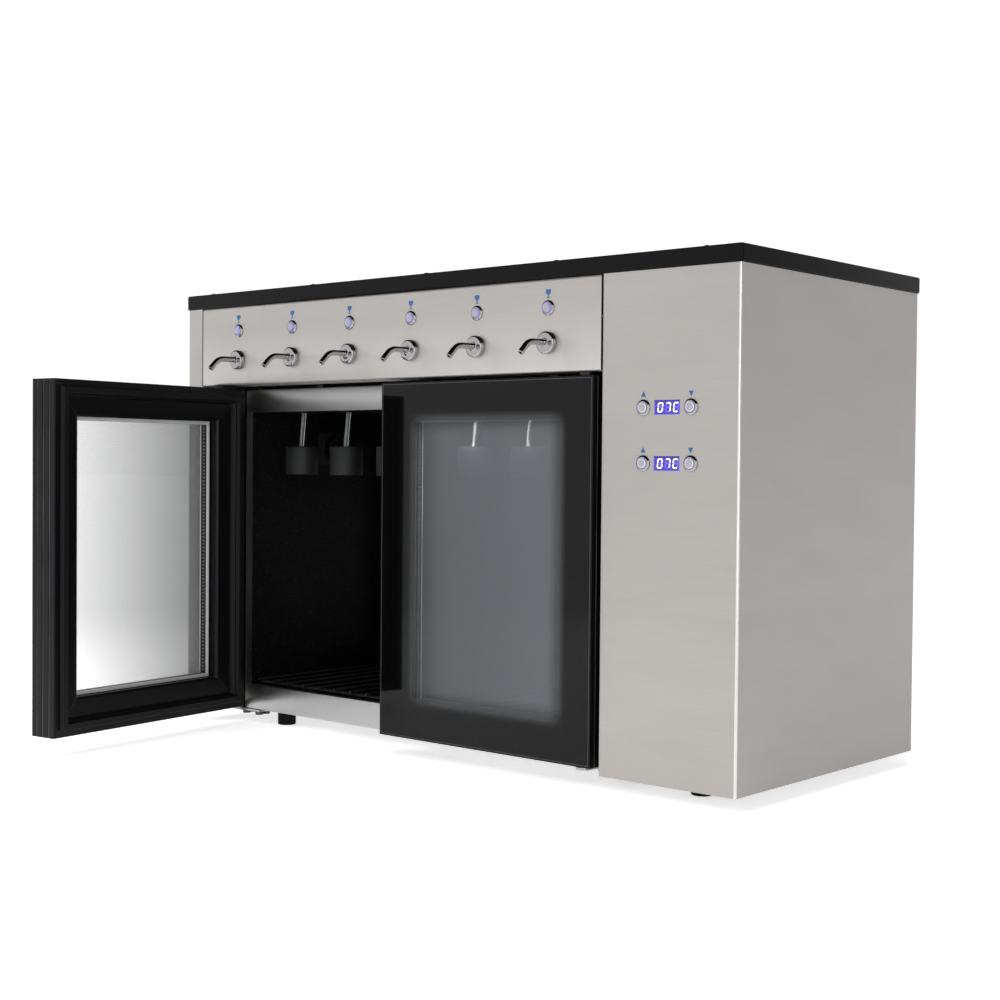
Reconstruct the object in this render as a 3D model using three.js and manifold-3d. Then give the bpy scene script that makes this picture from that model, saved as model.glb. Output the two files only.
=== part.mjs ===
// Wine cooler and dispenser for six bottles: two cooled compartments behind glass doors, a steel
// fascia with six taps over them, and a machine compartment with the controls at their right.
//
// Millimetres, +X along the width, +Y to the back, +Z up. The pieces are built with x = 0 at the
// body's left side, y = 0 at its front plane and z = 0 at its underside. The last lines move the
// whole so that the origin is on the floor, in the middle of the outline, left door open.
import * as THREE from "three";
import { mergeVertices } from "three/addons/utils/BufferGeometryUtils.js";
import Module from "manifold-3d";

// ---- Driving dimensions -------------------------------------------------------------------

// Body
const bodyWidth = 950;
const bodyDepth = 412;
const fasciaHeight = 111; // steel face that carries the taps, over the doors
const stripWidth = 32.7; // steel strip left of the doors
const controlWidth = 188.4; // steel control panel right of the doors
const sheet = 1.2; // thickness of every steel sheet
const bendRadius = 2.6; // of a fold, at the middle of the sheet
const flange = 14; // folded edge at a panel's back or top
const seat = 0.3; // gap between pieces that bear on each other
const panelGap = 0.8; // open seam between the outer panels

// Cover and feet
const coverHeight = 20.2;
const coverOverhang = 2;
const coverCorner = 4;
const coverEdge = 1.4; // rounding of its upper and lower edges
const coverWall = 9;
const coverTop = 3;
const coverScrews = 5; // along the front edge, and as many along the back
const coverScrewInset = 49.5;
const coverScrewSetback = 7;
const coverScrewRadius = 4.4;
const coverScrewHeight = 2.2;
const footHeight = 18;
const footRadius = 12.8;
const footStud = 4; // radius of its threaded stud
const footLeftInset = 141;
const footRightInset = 90;
const footSetback = 70;

// Doors
const doorRecess = 50; // depth of the recess in which the closed doors stand
const doorThickness = 42.5;
const doorHeight = 458.4;
const doorGround = 6.6; // gap under the doors
const doorTopGap = 5.3;
const doorSideGap = 12;
const doorCentreGap = 9.5;
const doorOpenAngle = 83; // the left door's angle at rest
const glassThickness = 4;
const glassLip = 1.6; // frame edge that shows round the front glass
const doorStile = 47; // width of the door frame's members
const innerGlassDepth = 18; // from the door's front to its inner pane
const innerGlassGrip = 8; // how far the inner pane stands in its channel
const gasketInset = 9;
const gasketWidth = 9;
const gasketGroove = 4.5;
const gasketGap = 1; // free space between the closed door's gasket and the frame it meets

// Door hinges
const pivotInset = 16.8; // pivot axis from the door's hinged edge
const pivotDepth = 10; // pivot axis behind the front plane
const pivotRadius = 3.2;
const pivotReach = 10; // length of the pin inside the door
const pivotPlay = 0.4; // radial clearance of the pin
const hingeSheet = 3;
const hingeNose = 9;
const hingeFoot = 50; // length of the plate's foot under the front frame
const hingeClearance = 0.9; // between the door and the plate under it
const boltRadius = 6.2; // of the hinge bolts' hexagon heads
const boltHead = 4.5; // height of a head
const boltInset = 5.5; // first bolts beside the pivot axis
const boltSpan = 28; // between the bolts of a row
const hingeHeadroom = 0.8; // free space over the upper hinges

// Compartments
const openingMargin = 20.85; // of the front frame that each door covers beside its opening
const openingBottom = 36;
const openingTopRail = 33.2; // of the front frame over the openings
const postWidth = 34.3; // steel post between the two openings
const frameFlange = 26; // upper and lower flange of the front frame
const openingLip = 10; // depth of the folded lip round each opening
const linerWall = 2.5;
const linerFlange = 9;
const rearInsulation = 42;
const rearChannel = 29.3; // free space between the insulation and the back panel

// Rack
const rackWire = 2; // radius of the long wires
const rackBar = 2.5; // radius of the cross bars
const rackWires = 10;
const rackBars = 2;
const rackMargin = 5; // free space round it

// Stoppers and their tubes
const stopperPitch = 94;
const stopperSetback = 103;
const stopperHang = 91.5; // of its lower edge under the liner's ceiling
const stopperHeight = 41;
const stopperRadius = 23.7;
const stopperCup = 16.5; // radius of the cup for the bottle's mouth
const stopperCupDepth = 29;
const grommetRadius = 12;
const grommetNeck = 8.2;
const tubeSpread = 5; // each tube from the stopper's axis
const wineTube = 3; // radius
const gasTube = 2.2; // radius

// Taps and push buttons
const tapPitch = 113.6;
const tapRise = 35; // above the fascia's lower edge
const tapStem = 5.4; // radius
const tapStemLength = 34;
const rosetteRadius = 13.5;
const rosetteHeight = 7.8;
const spoutRadius = 3.8;
const spoutBore = 2.8;
const spoutReach = 50; // of its tip, in front of the fascia
const spoutDrop = 14.5; // of its tip, under its root
const spoutBend = 9; // length of the bend's tangents
const buttonRise = 76.4; // above the fascia's lower edge
const buttonRadius = 5.9;
const buttonPlay = 0.3;
const buttonProud = 3.8;
const buttonTravel = 2;
const bezelRadius = 9;
const bezelHeight = 2.2;
const housingRadius = 7.8;
const housingDepth = 14;
const collarThickness = 2; // of the button's collar behind its housing
const buttonSides = 10; // facets round every button, housing and bore

// Controls
const controlInset = 92.6; // displays' centre from the control panel's left edge
const controlSpread = 32.35; // each button from that centre
const controlDrop = 155.1; // of the upper row under the body's top
const controlPitch = 62.9; // between the two rows
const displayWidth = 34.6;
const displayHeight = 16;
const displayDepth = 12;
const boardSetback = 24;
const boardWidth = 116;
const boardHeight = 126;
const boardThickness = 1.6;
const boardPost = 4; // radius of its four posts
const boardPostInset = 6;
const relayHeight = 26;
const relayWidth = 34;

// Cooling machine
const compressorRadius = 56;
const compressorHeight = 148;
const compressorSetback = 118;
const compressorSeam = 3;
const bracketWidth = 150;
const bracketDepth = 84;
const bracketRise = 12; // on four rubber mounts
const bracketMount = 8; // radius
const terminalWidth = 44;
const terminalReach = 16; // of the terminal box in front of the pot
const pipeRadius = 3.5;
const condenserWidth = 140;
const condenserHeight = 136;
const condenserDepth = 44;
const condenserSetback = 262;
const condenserFins = 5;
const condenserFanRadius = 54;
const condenserSheet = 2; // thickness of its end plates and shroud
const condenserFanGap = 4; // free space round the fan's blades
const condenserFanSetback = 22; // wheel's middle behind the shroud's plate
const louvres = 8;
const louvreWidth = 126;
const louvrePitch = 15;
const louvreRise = 24; // of the lowest louvre
const inletSetback = 60; // mains inlet's axis from the right side
const inletRise = 210;
const inletWidth = 28;
const inletHeight = 20;
const inletDepth = 12;
const circulationFanSize = 50; // square frame
const circulationFanDepth = 14;
const circulationFanSetback = 214;
const circulationFanDrop = 52.5; // of its axis under the liner's ceiling
const evaporatorWidth = 244;
const evaporatorDrop = 44.5; // of its upper edge under the liner's ceiling
const evaporatorRise = 35.5; // of its lower edge over the liner's floor
const evaporatorPasses = 6;

// Preserving gas
const railHeight = 16;
const railRise = 23; // above the insulation
const railOverhang = 14; // of the rail past its end valves
const valveRadius = 10;
const valveLength = 26;
const gasInletRadius = 6;
const gasInletReach = 41; // from the rail's end to the inlet
const regulatorRadius = 17;
const regulatorDepth = 38;
const regulatorKnob = 9; // radius
const regulatorKnobRise = 30; // over the inlet's axis

// ---- Derived places -----------------------------------------------------------------------

const controlX = bodyWidth - controlWidth;
const coldCentre = (stripWidth + controlX) / 2;
const coldWidth = controlX - stripWidth;
const doorWidth = (coldWidth - 2 * doorSideGap - doorCentreGap) / 2;
const doorTop = doorGround + doorHeight;
const fasciaBottom = doorTop + doorTopGap;
const bodyHeight = fasciaBottom + fasciaHeight;
const hingeTop = fasciaBottom - hingeHeadroom;
const frameTop = hingeTop - hingeSheet - seat;
const frameBack = doorRecess + sheet;
const frameLeft = stripWidth - flange; // the front frame runs on behind strip and controls
const frameRight = controlX + flange;
const openingWidth = doorWidth - 2 * openingMargin;
const openingTop = frameTop - openingTopRail;
const linerFront = frameBack + seat;
const linerGrowth = sheet + seat; // liner's inner faces outside the opening's edges
const linerFloor = openingBottom - linerGrowth;
const linerCeiling = openingTop + linerGrowth;
const backPanelFront = bodyDepth - 2 * sheet - seat;
const foamBack = backPanelFront - rearChannel;
const linerBack = foamBack - rearInsulation - linerWall;
const stopperBottom = linerCeiling - stopperHang;
const circulationFanCentre = linerCeiling - circulationFanDrop;
const evaporatorTop = linerCeiling - evaporatorDrop;
const evaporatorBottom = linerFloor + evaporatorRise;
const evaporatorHeight = evaporatorTop - evaporatorBottom;
const basePlateBottom = sheet + seat;
const basePlateTop = basePlateBottom + sheet;
const foamBottom = basePlateTop + seat;
const foamTop = frameTop - sheet - seat;
const tapZ = fasciaBottom + tapRise;
const buttonZ = fasciaBottom + buttonRise;
const controlCentre = controlX + controlInset;
const upperControls = bodyHeight - controlDrop;
const lowerControls = upperControls - controlPitch;
const machineCentre = (controlX + bodyWidth) / 2;
const railBottom = foamTop + railRise;
const coverBottom = bodyHeight + seat;
const bendClear = bendRadius + sheet / 2 + seat; // from a sheet's outer face, clear of its bend

const sides = [-1, 1];
const compartmentCentre = (side) => coldCentre + (side * (openingWidth + postWidth)) / 2;
const tapX = (i) => coldCentre + (i - 2.5) * tapPitch;
const stopperX = (i) => compartmentCentre(i < 3 ? -1 : 1) + ((i % 3) - 1) * stopperPitch;
const railEnd = stopperX(5) + tubeSpread + railOverhang;
const gasInletX = railEnd + gasInletReach;
const gasInletZ = railBottom + railHeight / 2;

// ---- Solids -------------------------------------------------------------------------------

const wasm = await Module();
wasm.setup();

function closedSolid(positions, triangles) {
  const build = (triVerts) =>
    new wasm.Manifold(new wasm.Mesh({ numProp: 3, vertProperties: positions, triVerts }));
  const made = build(Uint32Array.from(triangles));
  if (made.volume() > 0) return made;
  return build(Uint32Array.from(triangles).reverse());
}

// A solid from a closed geometry, whichever way round its faces were drawn.
function solidOf(geometry) {
  const bare = geometry.clone();
  bare.deleteAttribute("normal");
  bare.deleteAttribute("uv");
  const merged = mergeVertices(bare, 1e-4);
  const corners = Array.from(merged.index.array);
  const triangles = [];
  for (let i = 0; i < corners.length; i += 3) {
    const [a, b, c] = corners.slice(i, i + 3);
    if (a !== b && b !== c && c !== a) triangles.push(a, b, c);
  }
  return closedSolid(merged.attributes.position.array, triangles);
}

const joined = (...solids) => solids.reduce((whole, next) => whole.add(next));
const cut = (whole, ...tools) => tools.reduce((rest, tool) => rest.subtract(tool), whole);

function basis(x, y, z) {
  return new THREE.Matrix4().makeBasis(
    new THREE.Vector3(...x),
    new THREE.Vector3(...y),
    new THREE.Vector3(...z),
  );
}

// Where a flat outline's own x, y and thickness point once it stands in the body.
const outlineWays = {
  up: basis([1, 0, 0], [0, 1, 0], [0, 0, 1]),
  back: basis([1, 0, 0], [0, 0, 1], [0, 1, 0]),
  across: basis([0, 1, 0], [0, 0, 1], [1, 0, 0]),
};

// Where a turned profile's axis (its own y) points.
const turnedWays = {
  up: basis([1, 0, 0], [0, 0, 1], [0, 1, 0]),
  out: basis([1, 0, 0], [0, -1, 0], [0, 0, 1]),
  across: basis([0, 1, 0], [1, 0, 0], [0, 0, 1]),
};

function extruded(shape, way, from, to, curveSegments = 6) {
  const settings = { depth: to - from, bevelEnabled: false, curveSegments };
  const geometry = new THREE.ExtrudeGeometry(shape, settings);
  geometry.translate(0, 0, from);
  geometry.applyMatrix4(outlineWays[way]);
  return solidOf(geometry);
}

// A solid of revolution from points [radius, height along the axis], standing at a point.
function turned(profile, way, at, segments = 16) {
  const points = profile.map(([radius, height]) => new THREE.Vector2(radius, height));
  const geometry = new THREE.LatheGeometry(points, segments);
  geometry.applyMatrix4(turnedWays[way]);
  geometry.translate(...at);
  return solidOf(geometry);
}

function rod(radius, from, to, way, at, segments = 16) {
  const profile = [
    [0, from],
    [radius, from],
    [radius, to],
    [0, to],
  ];
  return turned(profile, way, at, segments);
}

function block([x0, x1], [y0, y1], [z0, z1]) {
  const geometry = new THREE.BoxGeometry(x1 - x0, y1 - y0, z1 - z0);
  geometry.translate((x0 + x1) / 2, (y0 + y1) / 2, (z0 + z1) / 2);
  return solidOf(geometry);
}

const around = (centre, size) => [centre - size / 2, centre + size / 2];

function rectangle(x0, x1, y0, y1) {
  const corners = [
    [x0, y0],
    [x1, y0],
    [x1, y1],
    [x0, y1],
  ];
  return new THREE.Shape(corners.map(([x, y]) => new THREE.Vector2(x, y)));
}

function roundedRectangle(width, height, radius) {
  const x = width / 2 - radius;
  const y = height / 2 - radius;
  const shape = new THREE.Shape();
  shape.absarc(x, y, radius, 0, Math.PI / 2);
  shape.absarc(-x, y, radius, Math.PI / 2, Math.PI);
  shape.absarc(-x, -y, radius, Math.PI, 1.5 * Math.PI);
  shape.absarc(x, -y, radius, 1.5 * Math.PI, 2 * Math.PI);
  return shape;
}

function circle(radius, sidesCount) {
  const points = [];
  for (let i = 0; i < sidesCount; i++) {
    const angle = (2 * Math.PI * i) / sidesCount;
    points.push(new THREE.Vector2(radius * Math.cos(angle), radius * Math.sin(angle)));
  }
  return new THREE.Shape(points);
}

// A round bar or tube along a curve.
function swept(path, radius, sidesCount, steps) {
  const settings = { steps, extrudePath: path, bevelEnabled: false };
  return solidOf(new THREE.ExtrudeGeometry(circle(radius, sidesCount), settings));
}

const curveThrough = (points) =>
  new THREE.CatmullRomCurve3(points.map((point) => new THREE.Vector3(...point)));

// The left-hand normal of a direction in the plane.
const leftOf = (along) => new THREE.Vector2(-along.y, along.x);

// A sheet seen end on: straight runs between the corners of its middle line, with round bends.
function foldedOutline(corners, thickness = sheet, radius = bendRadius, steps = 4) {
  const points = corners.map(([x, y]) => new THREE.Vector2(x, y));
  const stations = [];
  points.forEach((corner, i) => {
    const arriving = corner.clone().sub(points[i - 1] ?? corner);
    const leaving = (points[i + 1] ?? corner).clone().sub(corner);
    arriving.normalize();
    leaving.normalize();
    if (arriving.length() === 0 || leaving.length() === 0) {
      stations.push({ at: corner, across: leftOf(arriving.add(leaving)) });
      return;
    }
    const turn = Math.atan2(arriving.cross(leaving), arriving.dot(leaving));
    const inwards = Math.sign(turn) * radius;
    const tangent = radius * Math.tan(Math.abs(turn) / 2);
    const centre = corner.clone().addScaledVector(arriving, -tangent);
    centre.addScaledVector(leftOf(arriving), inwards);
    for (let k = 0; k <= steps; k++) {
      const across = leftOf(arriving).rotateAround(new THREE.Vector2(), (turn * k) / steps);
      stations.push({ at: centre.clone().addScaledVector(across, -inwards), across });
    }
  });
  const edge = (offset) => stations.map(({ at, across }) => at.clone().addScaledVector(across, offset));
  return new THREE.Shape([...edge(thickness / 2), ...edge(-thickness / 2).reverse()]);
}

const foldedPanel = (corners, way, from, to) => extruded(foldedOutline(corners), way, from, to);

// A rectangular ring of one section with mitred corners, standing in the plane of the doors.
// Section points are [distance in from the outer edge, y].
function mitredRing(section, [x0, x1], [z0, z1]) {
  const positions = [];
  for (const [inset, y] of section) {
    positions.push(x0 + inset, y, z0 + inset);
    positions.push(x1 - inset, y, z0 + inset);
    positions.push(x1 - inset, y, z1 - inset);
    positions.push(x0 + inset, y, z1 - inset);
  }
  const triangles = [];
  for (let point = 0; point < section.length; point++) {
    const next = (point + 1) % section.length;
    for (let corner = 0; corner < 4; corner++) {
      const after = (corner + 1) % 4;
      const [a, b] = [4 * point + corner, 4 * point + after];
      const [c, d] = [4 * next + after, 4 * next + corner];
      triangles.push(a, b, c, a, c, d);
    }
  }
  return closedSolid(Float32Array.from(positions), triangles);
}

// ---- Finishes -----------------------------------------------------------------------------

const finish = (color, roughness, metalness, more = {}) =>
  new THREE.MeshStandardMaterial({ color, roughness, metalness, ...more });

const brushedSteel = finish(0xb8b3ae, 0.38, 1);
const galvanised = finish(0x9a9b9c, 0.5, 1);
const chrome = finish(0xd6d6d6, 0.08, 1);
const blackPaint = finish(0x202021, 0.4, 0);
const blackPlastic = finish(0x2b2b2d, 0.45, 0);
const linerPlastic = finish(0x151516, 0.5, 0);
const softRubber = finish(0x1b1b1c, 0.7, 0);
const tintedGlass = finish(0x2b2b2d, 0.05, 0, { transparent: true, opacity: 0.6 });
const clearGlass = finish(0xd8dddc, 0.05, 0, { transparent: true, opacity: 0.35 });
const foam = finish(0xe3d9b0, 0.9, 0);
const aluminium = finish(0xa9abad, 0.45, 1);
const boardGreen = finish(0x1f5b3a, 0.5, 0);
const displayBlue = finish(0x5a4fd0, 0.2, 0);
const darkWire = finish(0x3a3a3c, 0.4, 0.3);

// ---- Body ---------------------------------------------------------------------------------

function coverScrewPlaces() {
  const places = [];
  const pitch = (bodyWidth - 2 * coverScrewInset) / (coverScrews - 1);
  for (let i = 0; i < coverScrews; i++) {
    places.push([coverScrewInset + i * pitch, coverScrewSetback]);
    places.push([coverScrewInset + i * pitch, bodyDepth - coverScrewSetback]);
  }
  return places;
}

function topCover() {
  const width = bodyWidth + 2 * coverOverhang;
  const depth = bodyDepth + 2 * coverOverhang;
  const settings = {
    depth: coverHeight - 2 * coverEdge,
    bevelThickness: coverEdge,
    bevelSize: coverEdge,
    bevelOffset: -coverEdge,
    bevelSegments: 1,
    curveSegments: 2,
  };
  const geometry = new THREE.ExtrudeGeometry(roundedRectangle(width, depth, coverCorner), settings);
  geometry.translate(bodyWidth / 2, bodyDepth / 2, coverBottom + coverEdge);
  const hollow = block(
    around(bodyWidth / 2, width - 2 * coverWall),
    around(bodyDepth / 2, depth - 2 * coverWall),
    [coverBottom - 1, coverBottom + coverHeight - coverTop],
  );
  const top = coverBottom + coverHeight;
  const head = [
    [0, -0.5],
    [coverScrewRadius, -0.5],
    [0.9 * coverScrewRadius, 0.5 * coverScrewHeight],
    [0, coverScrewHeight],
  ];
  const screws = coverScrewPlaces().map(([x, y]) => turned(head, "up", [x, y, top], 6));
  return joined(cut(solidOf(geometry), hollow), ...screws);
}

function leftSidePanel() {
  const middle = sheet / 2;
  const corners = [
    [flange, bodyDepth - middle],
    [middle, bodyDepth - middle],
    [middle, middle],
    [stripWidth - middle, middle],
    [stripWidth - middle, doorRecess - seat],
  ];
  return foldedPanel(corners, "up", 0, bodyHeight);
}

// A push button's fixed part: a bevelled ring in front of the sheet and a barrel behind it.
function buttonHousing(x, z) {
  const profile = [
    [0, -housingDepth],
    [housingRadius, -housingDepth],
    [housingRadius, -sheet / 2],
    [bezelRadius, -sheet / 2],
    [bezelRadius, 0.4 * bezelHeight],
    [bezelRadius - 1.4, bezelHeight],
    [0, bezelHeight],
  ];
  return turned(profile, "out", [x, 0, z], buttonSides);
}

function buttonBore(x, z) {
  return rod(buttonRadius + buttonPlay, -housingDepth - 1, bezelHeight + 1, "out", [x, 0, z], buttonSides);
}

const controlButtonPlaces = () =>
  [upperControls, lowerControls].flatMap((z) =>
    sides.map((side) => [controlCentre + side * controlSpread, z]),
  );

function rightSidePanel() {
  const middle = sheet / 2;
  const corners = [
    [controlX + middle, doorRecess - seat],
    [controlX + middle, middle],
    [bodyWidth - middle, middle],
    [bodyWidth - middle, bodyDepth - middle],
    [bodyWidth - flange, bodyDepth - middle],
  ];
  const panel = foldedPanel(corners, "up", 0, bodyHeight);
  const windows = [upperControls, lowerControls].map((z) =>
    block(
      around(controlCentre, displayWidth + 2 * seat),
      [-1, sheet + 1],
      around(z, displayHeight + 2 * seat),
    ),
  );
  const places = controlButtonPlaces();
  const housings = places.map(([x, z]) => buttonHousing(x, z));
  const bores = places.map(([x, z]) => buttonBore(x, z));
  return cut(joined(panel, ...housings), ...windows, ...bores);
}

function backPanel() {
  const back = backPanelFront + sheet;
  const plate = block(
    [bendClear, bodyWidth - bendClear],
    [backPanelFront, back],
    [basePlateTop + seat, bodyHeight - seat],
  );
  const slots = [];
  for (let i = 0; i < louvres; i++) {
    const shape = roundedRectangle(louvreWidth, louvrePitch * 0.4, louvrePitch * 0.2 - 0.01);
    const settings = { depth: 3 * sheet, bevelEnabled: false, curveSegments: 1 };
    const slot = new THREE.ExtrudeGeometry(shape, settings);
    slot.applyMatrix4(outlineWays.back);
    slot.translate(machineCentre, backPanelFront - sheet, louvreRise + i * louvrePitch);
    slots.push(solidOf(slot));
  }
  const inletX = bodyWidth - inletSetback;
  const rim = 4;
  const socket = block(
    around(inletX, inletWidth + 2 * rim),
    [back - inletDepth, back + sheet],
    around(inletRise, inletHeight + 2 * rim),
  );
  const recess = block(
    around(inletX, inletWidth),
    [back - inletDepth + sheet, back + 2 * sheet],
    around(inletRise, inletHeight),
  );
  const gasHole = rod(gasInletRadius + seat, -3, 3, "out", [gasInletX, backPanelFront, gasInletZ], 12);
  return cut(joined(cut(plate, ...slots, gasHole), socket), recess);
}

// The bottom tray with the four feet under it, their studs through its front edge's support.
function basePlate() {
  const inner = sheet + seat;
  const right = bodyWidth - inner;
  const back = backPanelFront - seat;
  const behindFrame = doorRecess + bendClear;
  const points = [
    [inner, bendClear],
    [frameLeft - seat, bendClear],
    [frameLeft - seat, behindFrame],
    [frameRight + seat, behindFrame],
    [frameRight + seat, bendClear],
    [right, bendClear],
    [right, back],
    [inner, back],
  ];
  const outline = new THREE.Shape(points.map(([x, y]) => new THREE.Vector2(x, y)));
  const plate = extruded(outline, "up", basePlateBottom, basePlateTop);
  const wallTop = basePlateTop + flange;
  const walls = [
    block([inner, inner + sheet], [doorRecess, back], [basePlateBottom, wallTop]),
    block([right - sheet, right], [bendClear, back], [basePlateBottom, wallTop]),
  ];
  const feet = footXs.flatMap((x) => [frontFoot(x), backFoot(x)]);
  return joined(plate, ...walls, ...feet);
}

const footXs = [footLeftInset, bodyWidth - footRightInset];

// Tapered at the floor, up to the shoulder that bears the body.
const footProfile = (shoulder) => [
  [0, -footHeight],
  [footRadius - 1.5, -footHeight],
  [footRadius, -footHeight + 3],
  [footRadius, shoulder],
];

// The front feet's studs pass through the front frame's lower flange.
function frontFoot(x) {
  const stud = [
    [footStud, -seat],
    [footStud, basePlateBottom + seat],
    [0, basePlateBottom + seat],
  ];
  return turned([...footProfile(-seat), ...stud], "up", [x, footSetback, 0], 10);
}

function backFoot(x) {
  const shoulder = basePlateBottom + seat;
  return turned([...footProfile(shoulder), [0, shoulder]], "up", [x, bodyDepth - footSetback, 0], 10);
}

function tapFascia() {
  const middle = sheet / 2;
  const corners = [
    [doorRecess - seat, fasciaBottom + middle],
    [middle, fasciaBottom + middle],
    [middle, bodyHeight - middle],
    [flange, bodyHeight - middle],
  ];
  const panel = foldedPanel(corners, "across", stripWidth + panelGap, controlX - panelGap);
  const housings = [];
  const holes = [];
  for (let i = 0; i < 6; i++) {
    housings.push(buttonHousing(tapX(i), buttonZ));
    holes.push(buttonBore(tapX(i), buttonZ));
    holes.push(rod(tapStem + seat, -3 * sheet, sheet, "out", [tapX(i), 0, tapZ], 6));
  }
  return cut(joined(panel, ...housings), ...holes);
}

function frontFrame() {
  const middle = sheet / 2;
  const corners = [
    [doorRecess + frameFlange, frameTop - middle],
    [doorRecess + middle, frameTop - middle],
    [doorRecess + middle, middle],
    [doorRecess + frameFlange, middle],
  ];
  const panel = foldedPanel(corners, "across", frameLeft, frameRight);
  const windows = [];
  const lips = [];
  const lipSection = [
    [0, doorRecess],
    [sheet, doorRecess],
    [sheet, doorRecess + openingLip],
    [0, doorRecess + openingLip],
  ];
  for (const side of sides) {
    const across = around(compartmentCentre(side), openingWidth);
    windows.push(block(across, [doorRecess - 1, doorRecess + 3], [openingBottom, openingTop]));
    const outer = around(compartmentCentre(side), openingWidth + 2 * sheet);
    lips.push(mitredRing(lipSection, outer, [openingBottom - sheet, openingTop + sheet]));
  }
  const studs = footXs.map((x) => rod(footStud + seat, -1, 3, "up", [x, footSetback, 0], 10));
  return cut(joined(cut(panel, ...windows), ...lips), ...studs);
}

// ---- Cold compartments --------------------------------------------------------------------

const linerSpan = (side, extra = 0) =>
  around(compartmentCentre(side), openingWidth + 2 * (linerGrowth + extra));

function liner(side) {
  const [left, right] = linerSpan(side, linerWall);
  const outer = block([left, right], [linerFront, linerBack + linerWall], [
    linerFloor - linerWall,
    linerCeiling + linerWall,
  ]);
  const rim = block(
    [left - linerFlange, right + linerFlange],
    [linerFront, linerFront + linerWall],
    [linerFloor - linerWall - linerFlange, linerCeiling + linerWall + linerFlange],
  );
  const hollow = block(linerSpan(side), [linerFront - 1, linerBack], [linerFloor, linerCeiling]);
  const [from, to] = [linerCeiling - 1, linerCeiling + 2 * linerWall];
  const holes = stoppersOf(side).map((i) =>
    rod(grommetNeck + seat, from, to, "up", [stopperX(i), stopperSetback, 0], 8),
  );
  return cut(joined(outer, rim), hollow, ...holes);
}

const stoppersOf = (side) => (side < 0 ? [0, 1, 2] : [3, 4, 5]);

// Foam round both liners, with a shaft over each stopper for its tubes.
function insulation() {
  const whole = block(
    [2 * sheet + 2 * seat, controlX - seat],
    [linerFront + linerWall + seat, foamBack],
    [foamBottom, foamTop],
  );
  const hollows = sides.map((side) =>
    block(
      linerSpan(side, linerWall + seat),
      [doorRecess, linerBack + linerWall + seat],
      [linerFloor - linerWall - seat, linerCeiling + linerWall + seat],
    ),
  );
  const shafts = [0, 1, 2, 3, 4, 5].map((i) =>
    rod(grommetRadius + 1.5, linerCeiling, foamTop + 1, "up", [stopperX(i), stopperSetback, 0], 6),
  );
  return cut(whole, ...hollows, ...shafts);
}

// Long wires welded over cross bars that lie on the liner's floor.
function bottleRack(side) {
  const [left, right] = around(compartmentCentre(side), openingWidth - 2 * rackMargin);
  const front = linerFront + openingLip + rackMargin;
  const back = linerBack - evaporatorStandoff - rackMargin - 6;
  const barZ = linerFloor + seat + rackBar;
  const wireZ = barZ + rackBar + 0.8 * rackWire;
  const bars = [];
  for (let i = 0; i < rackBars; i++) {
    const y = front + 8 + (i * (back - front - 16)) / (rackBars - 1);
    bars.push(rod(rackBar, left, right, "across", [0, y, barZ], 5));
  }
  const wires = [];
  const pitch = (right - left - 2 * rackWire) / (rackWires - 1);
  for (let i = 0; i < rackWires; i++) {
    wires.push(rod(rackWire, -back, -front, "out", [left + rackWire + i * pitch, 0, wireZ], 4));
  }
  return joined(...bars, ...wires);
}

const evaporatorStandoff = 6;

// A flat evaporator on four spacers at the liner's back wall, its channel a serpentine.
function evaporator(side) {
  const centre = compartmentCentre(side);
  const back = linerBack - evaporatorStandoff;
  const front = back - 1.6;
  const top = evaporatorBottom + evaporatorHeight;
  const plate = block(around(centre, evaporatorWidth), [front, back], [evaporatorBottom, top]);
  const spacers = [];
  for (const sideways of sides) {
    for (const z of [evaporatorBottom + 14, top - 14]) {
      const x = centre + sideways * (evaporatorWidth / 2 - 12);
      spacers.push(rod(4, -linerBack + seat, -back + 0.5, "out", [x, 0, z], 6));
    }
  }
  return joined(plate, ...spacers, evaporatorChannel(centre, front));
}

// The raised channel runs to and fro across the plate.
function evaporatorChannel(centre, plateFront) {
  const margin = 26;
  const pitch = (evaporatorHeight - 2 * margin) / (evaporatorPasses - 1);
  const reach = evaporatorWidth / 2 - margin;
  const corners = [];
  for (let pass = 0; pass < evaporatorPasses; pass++) {
    const z = evaporatorBottom + margin + pass * pitch;
    const way = pass % 2 ? -1 : 1;
    corners.push([centre - way * reach, z], [centre + way * reach, z]);
  }
  const outline = foldedOutline(corners, 6, pitch / 3, 1);
  return extruded(outline, "back", plateFront - 2.2, plateFront + 0.5);
}

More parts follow.
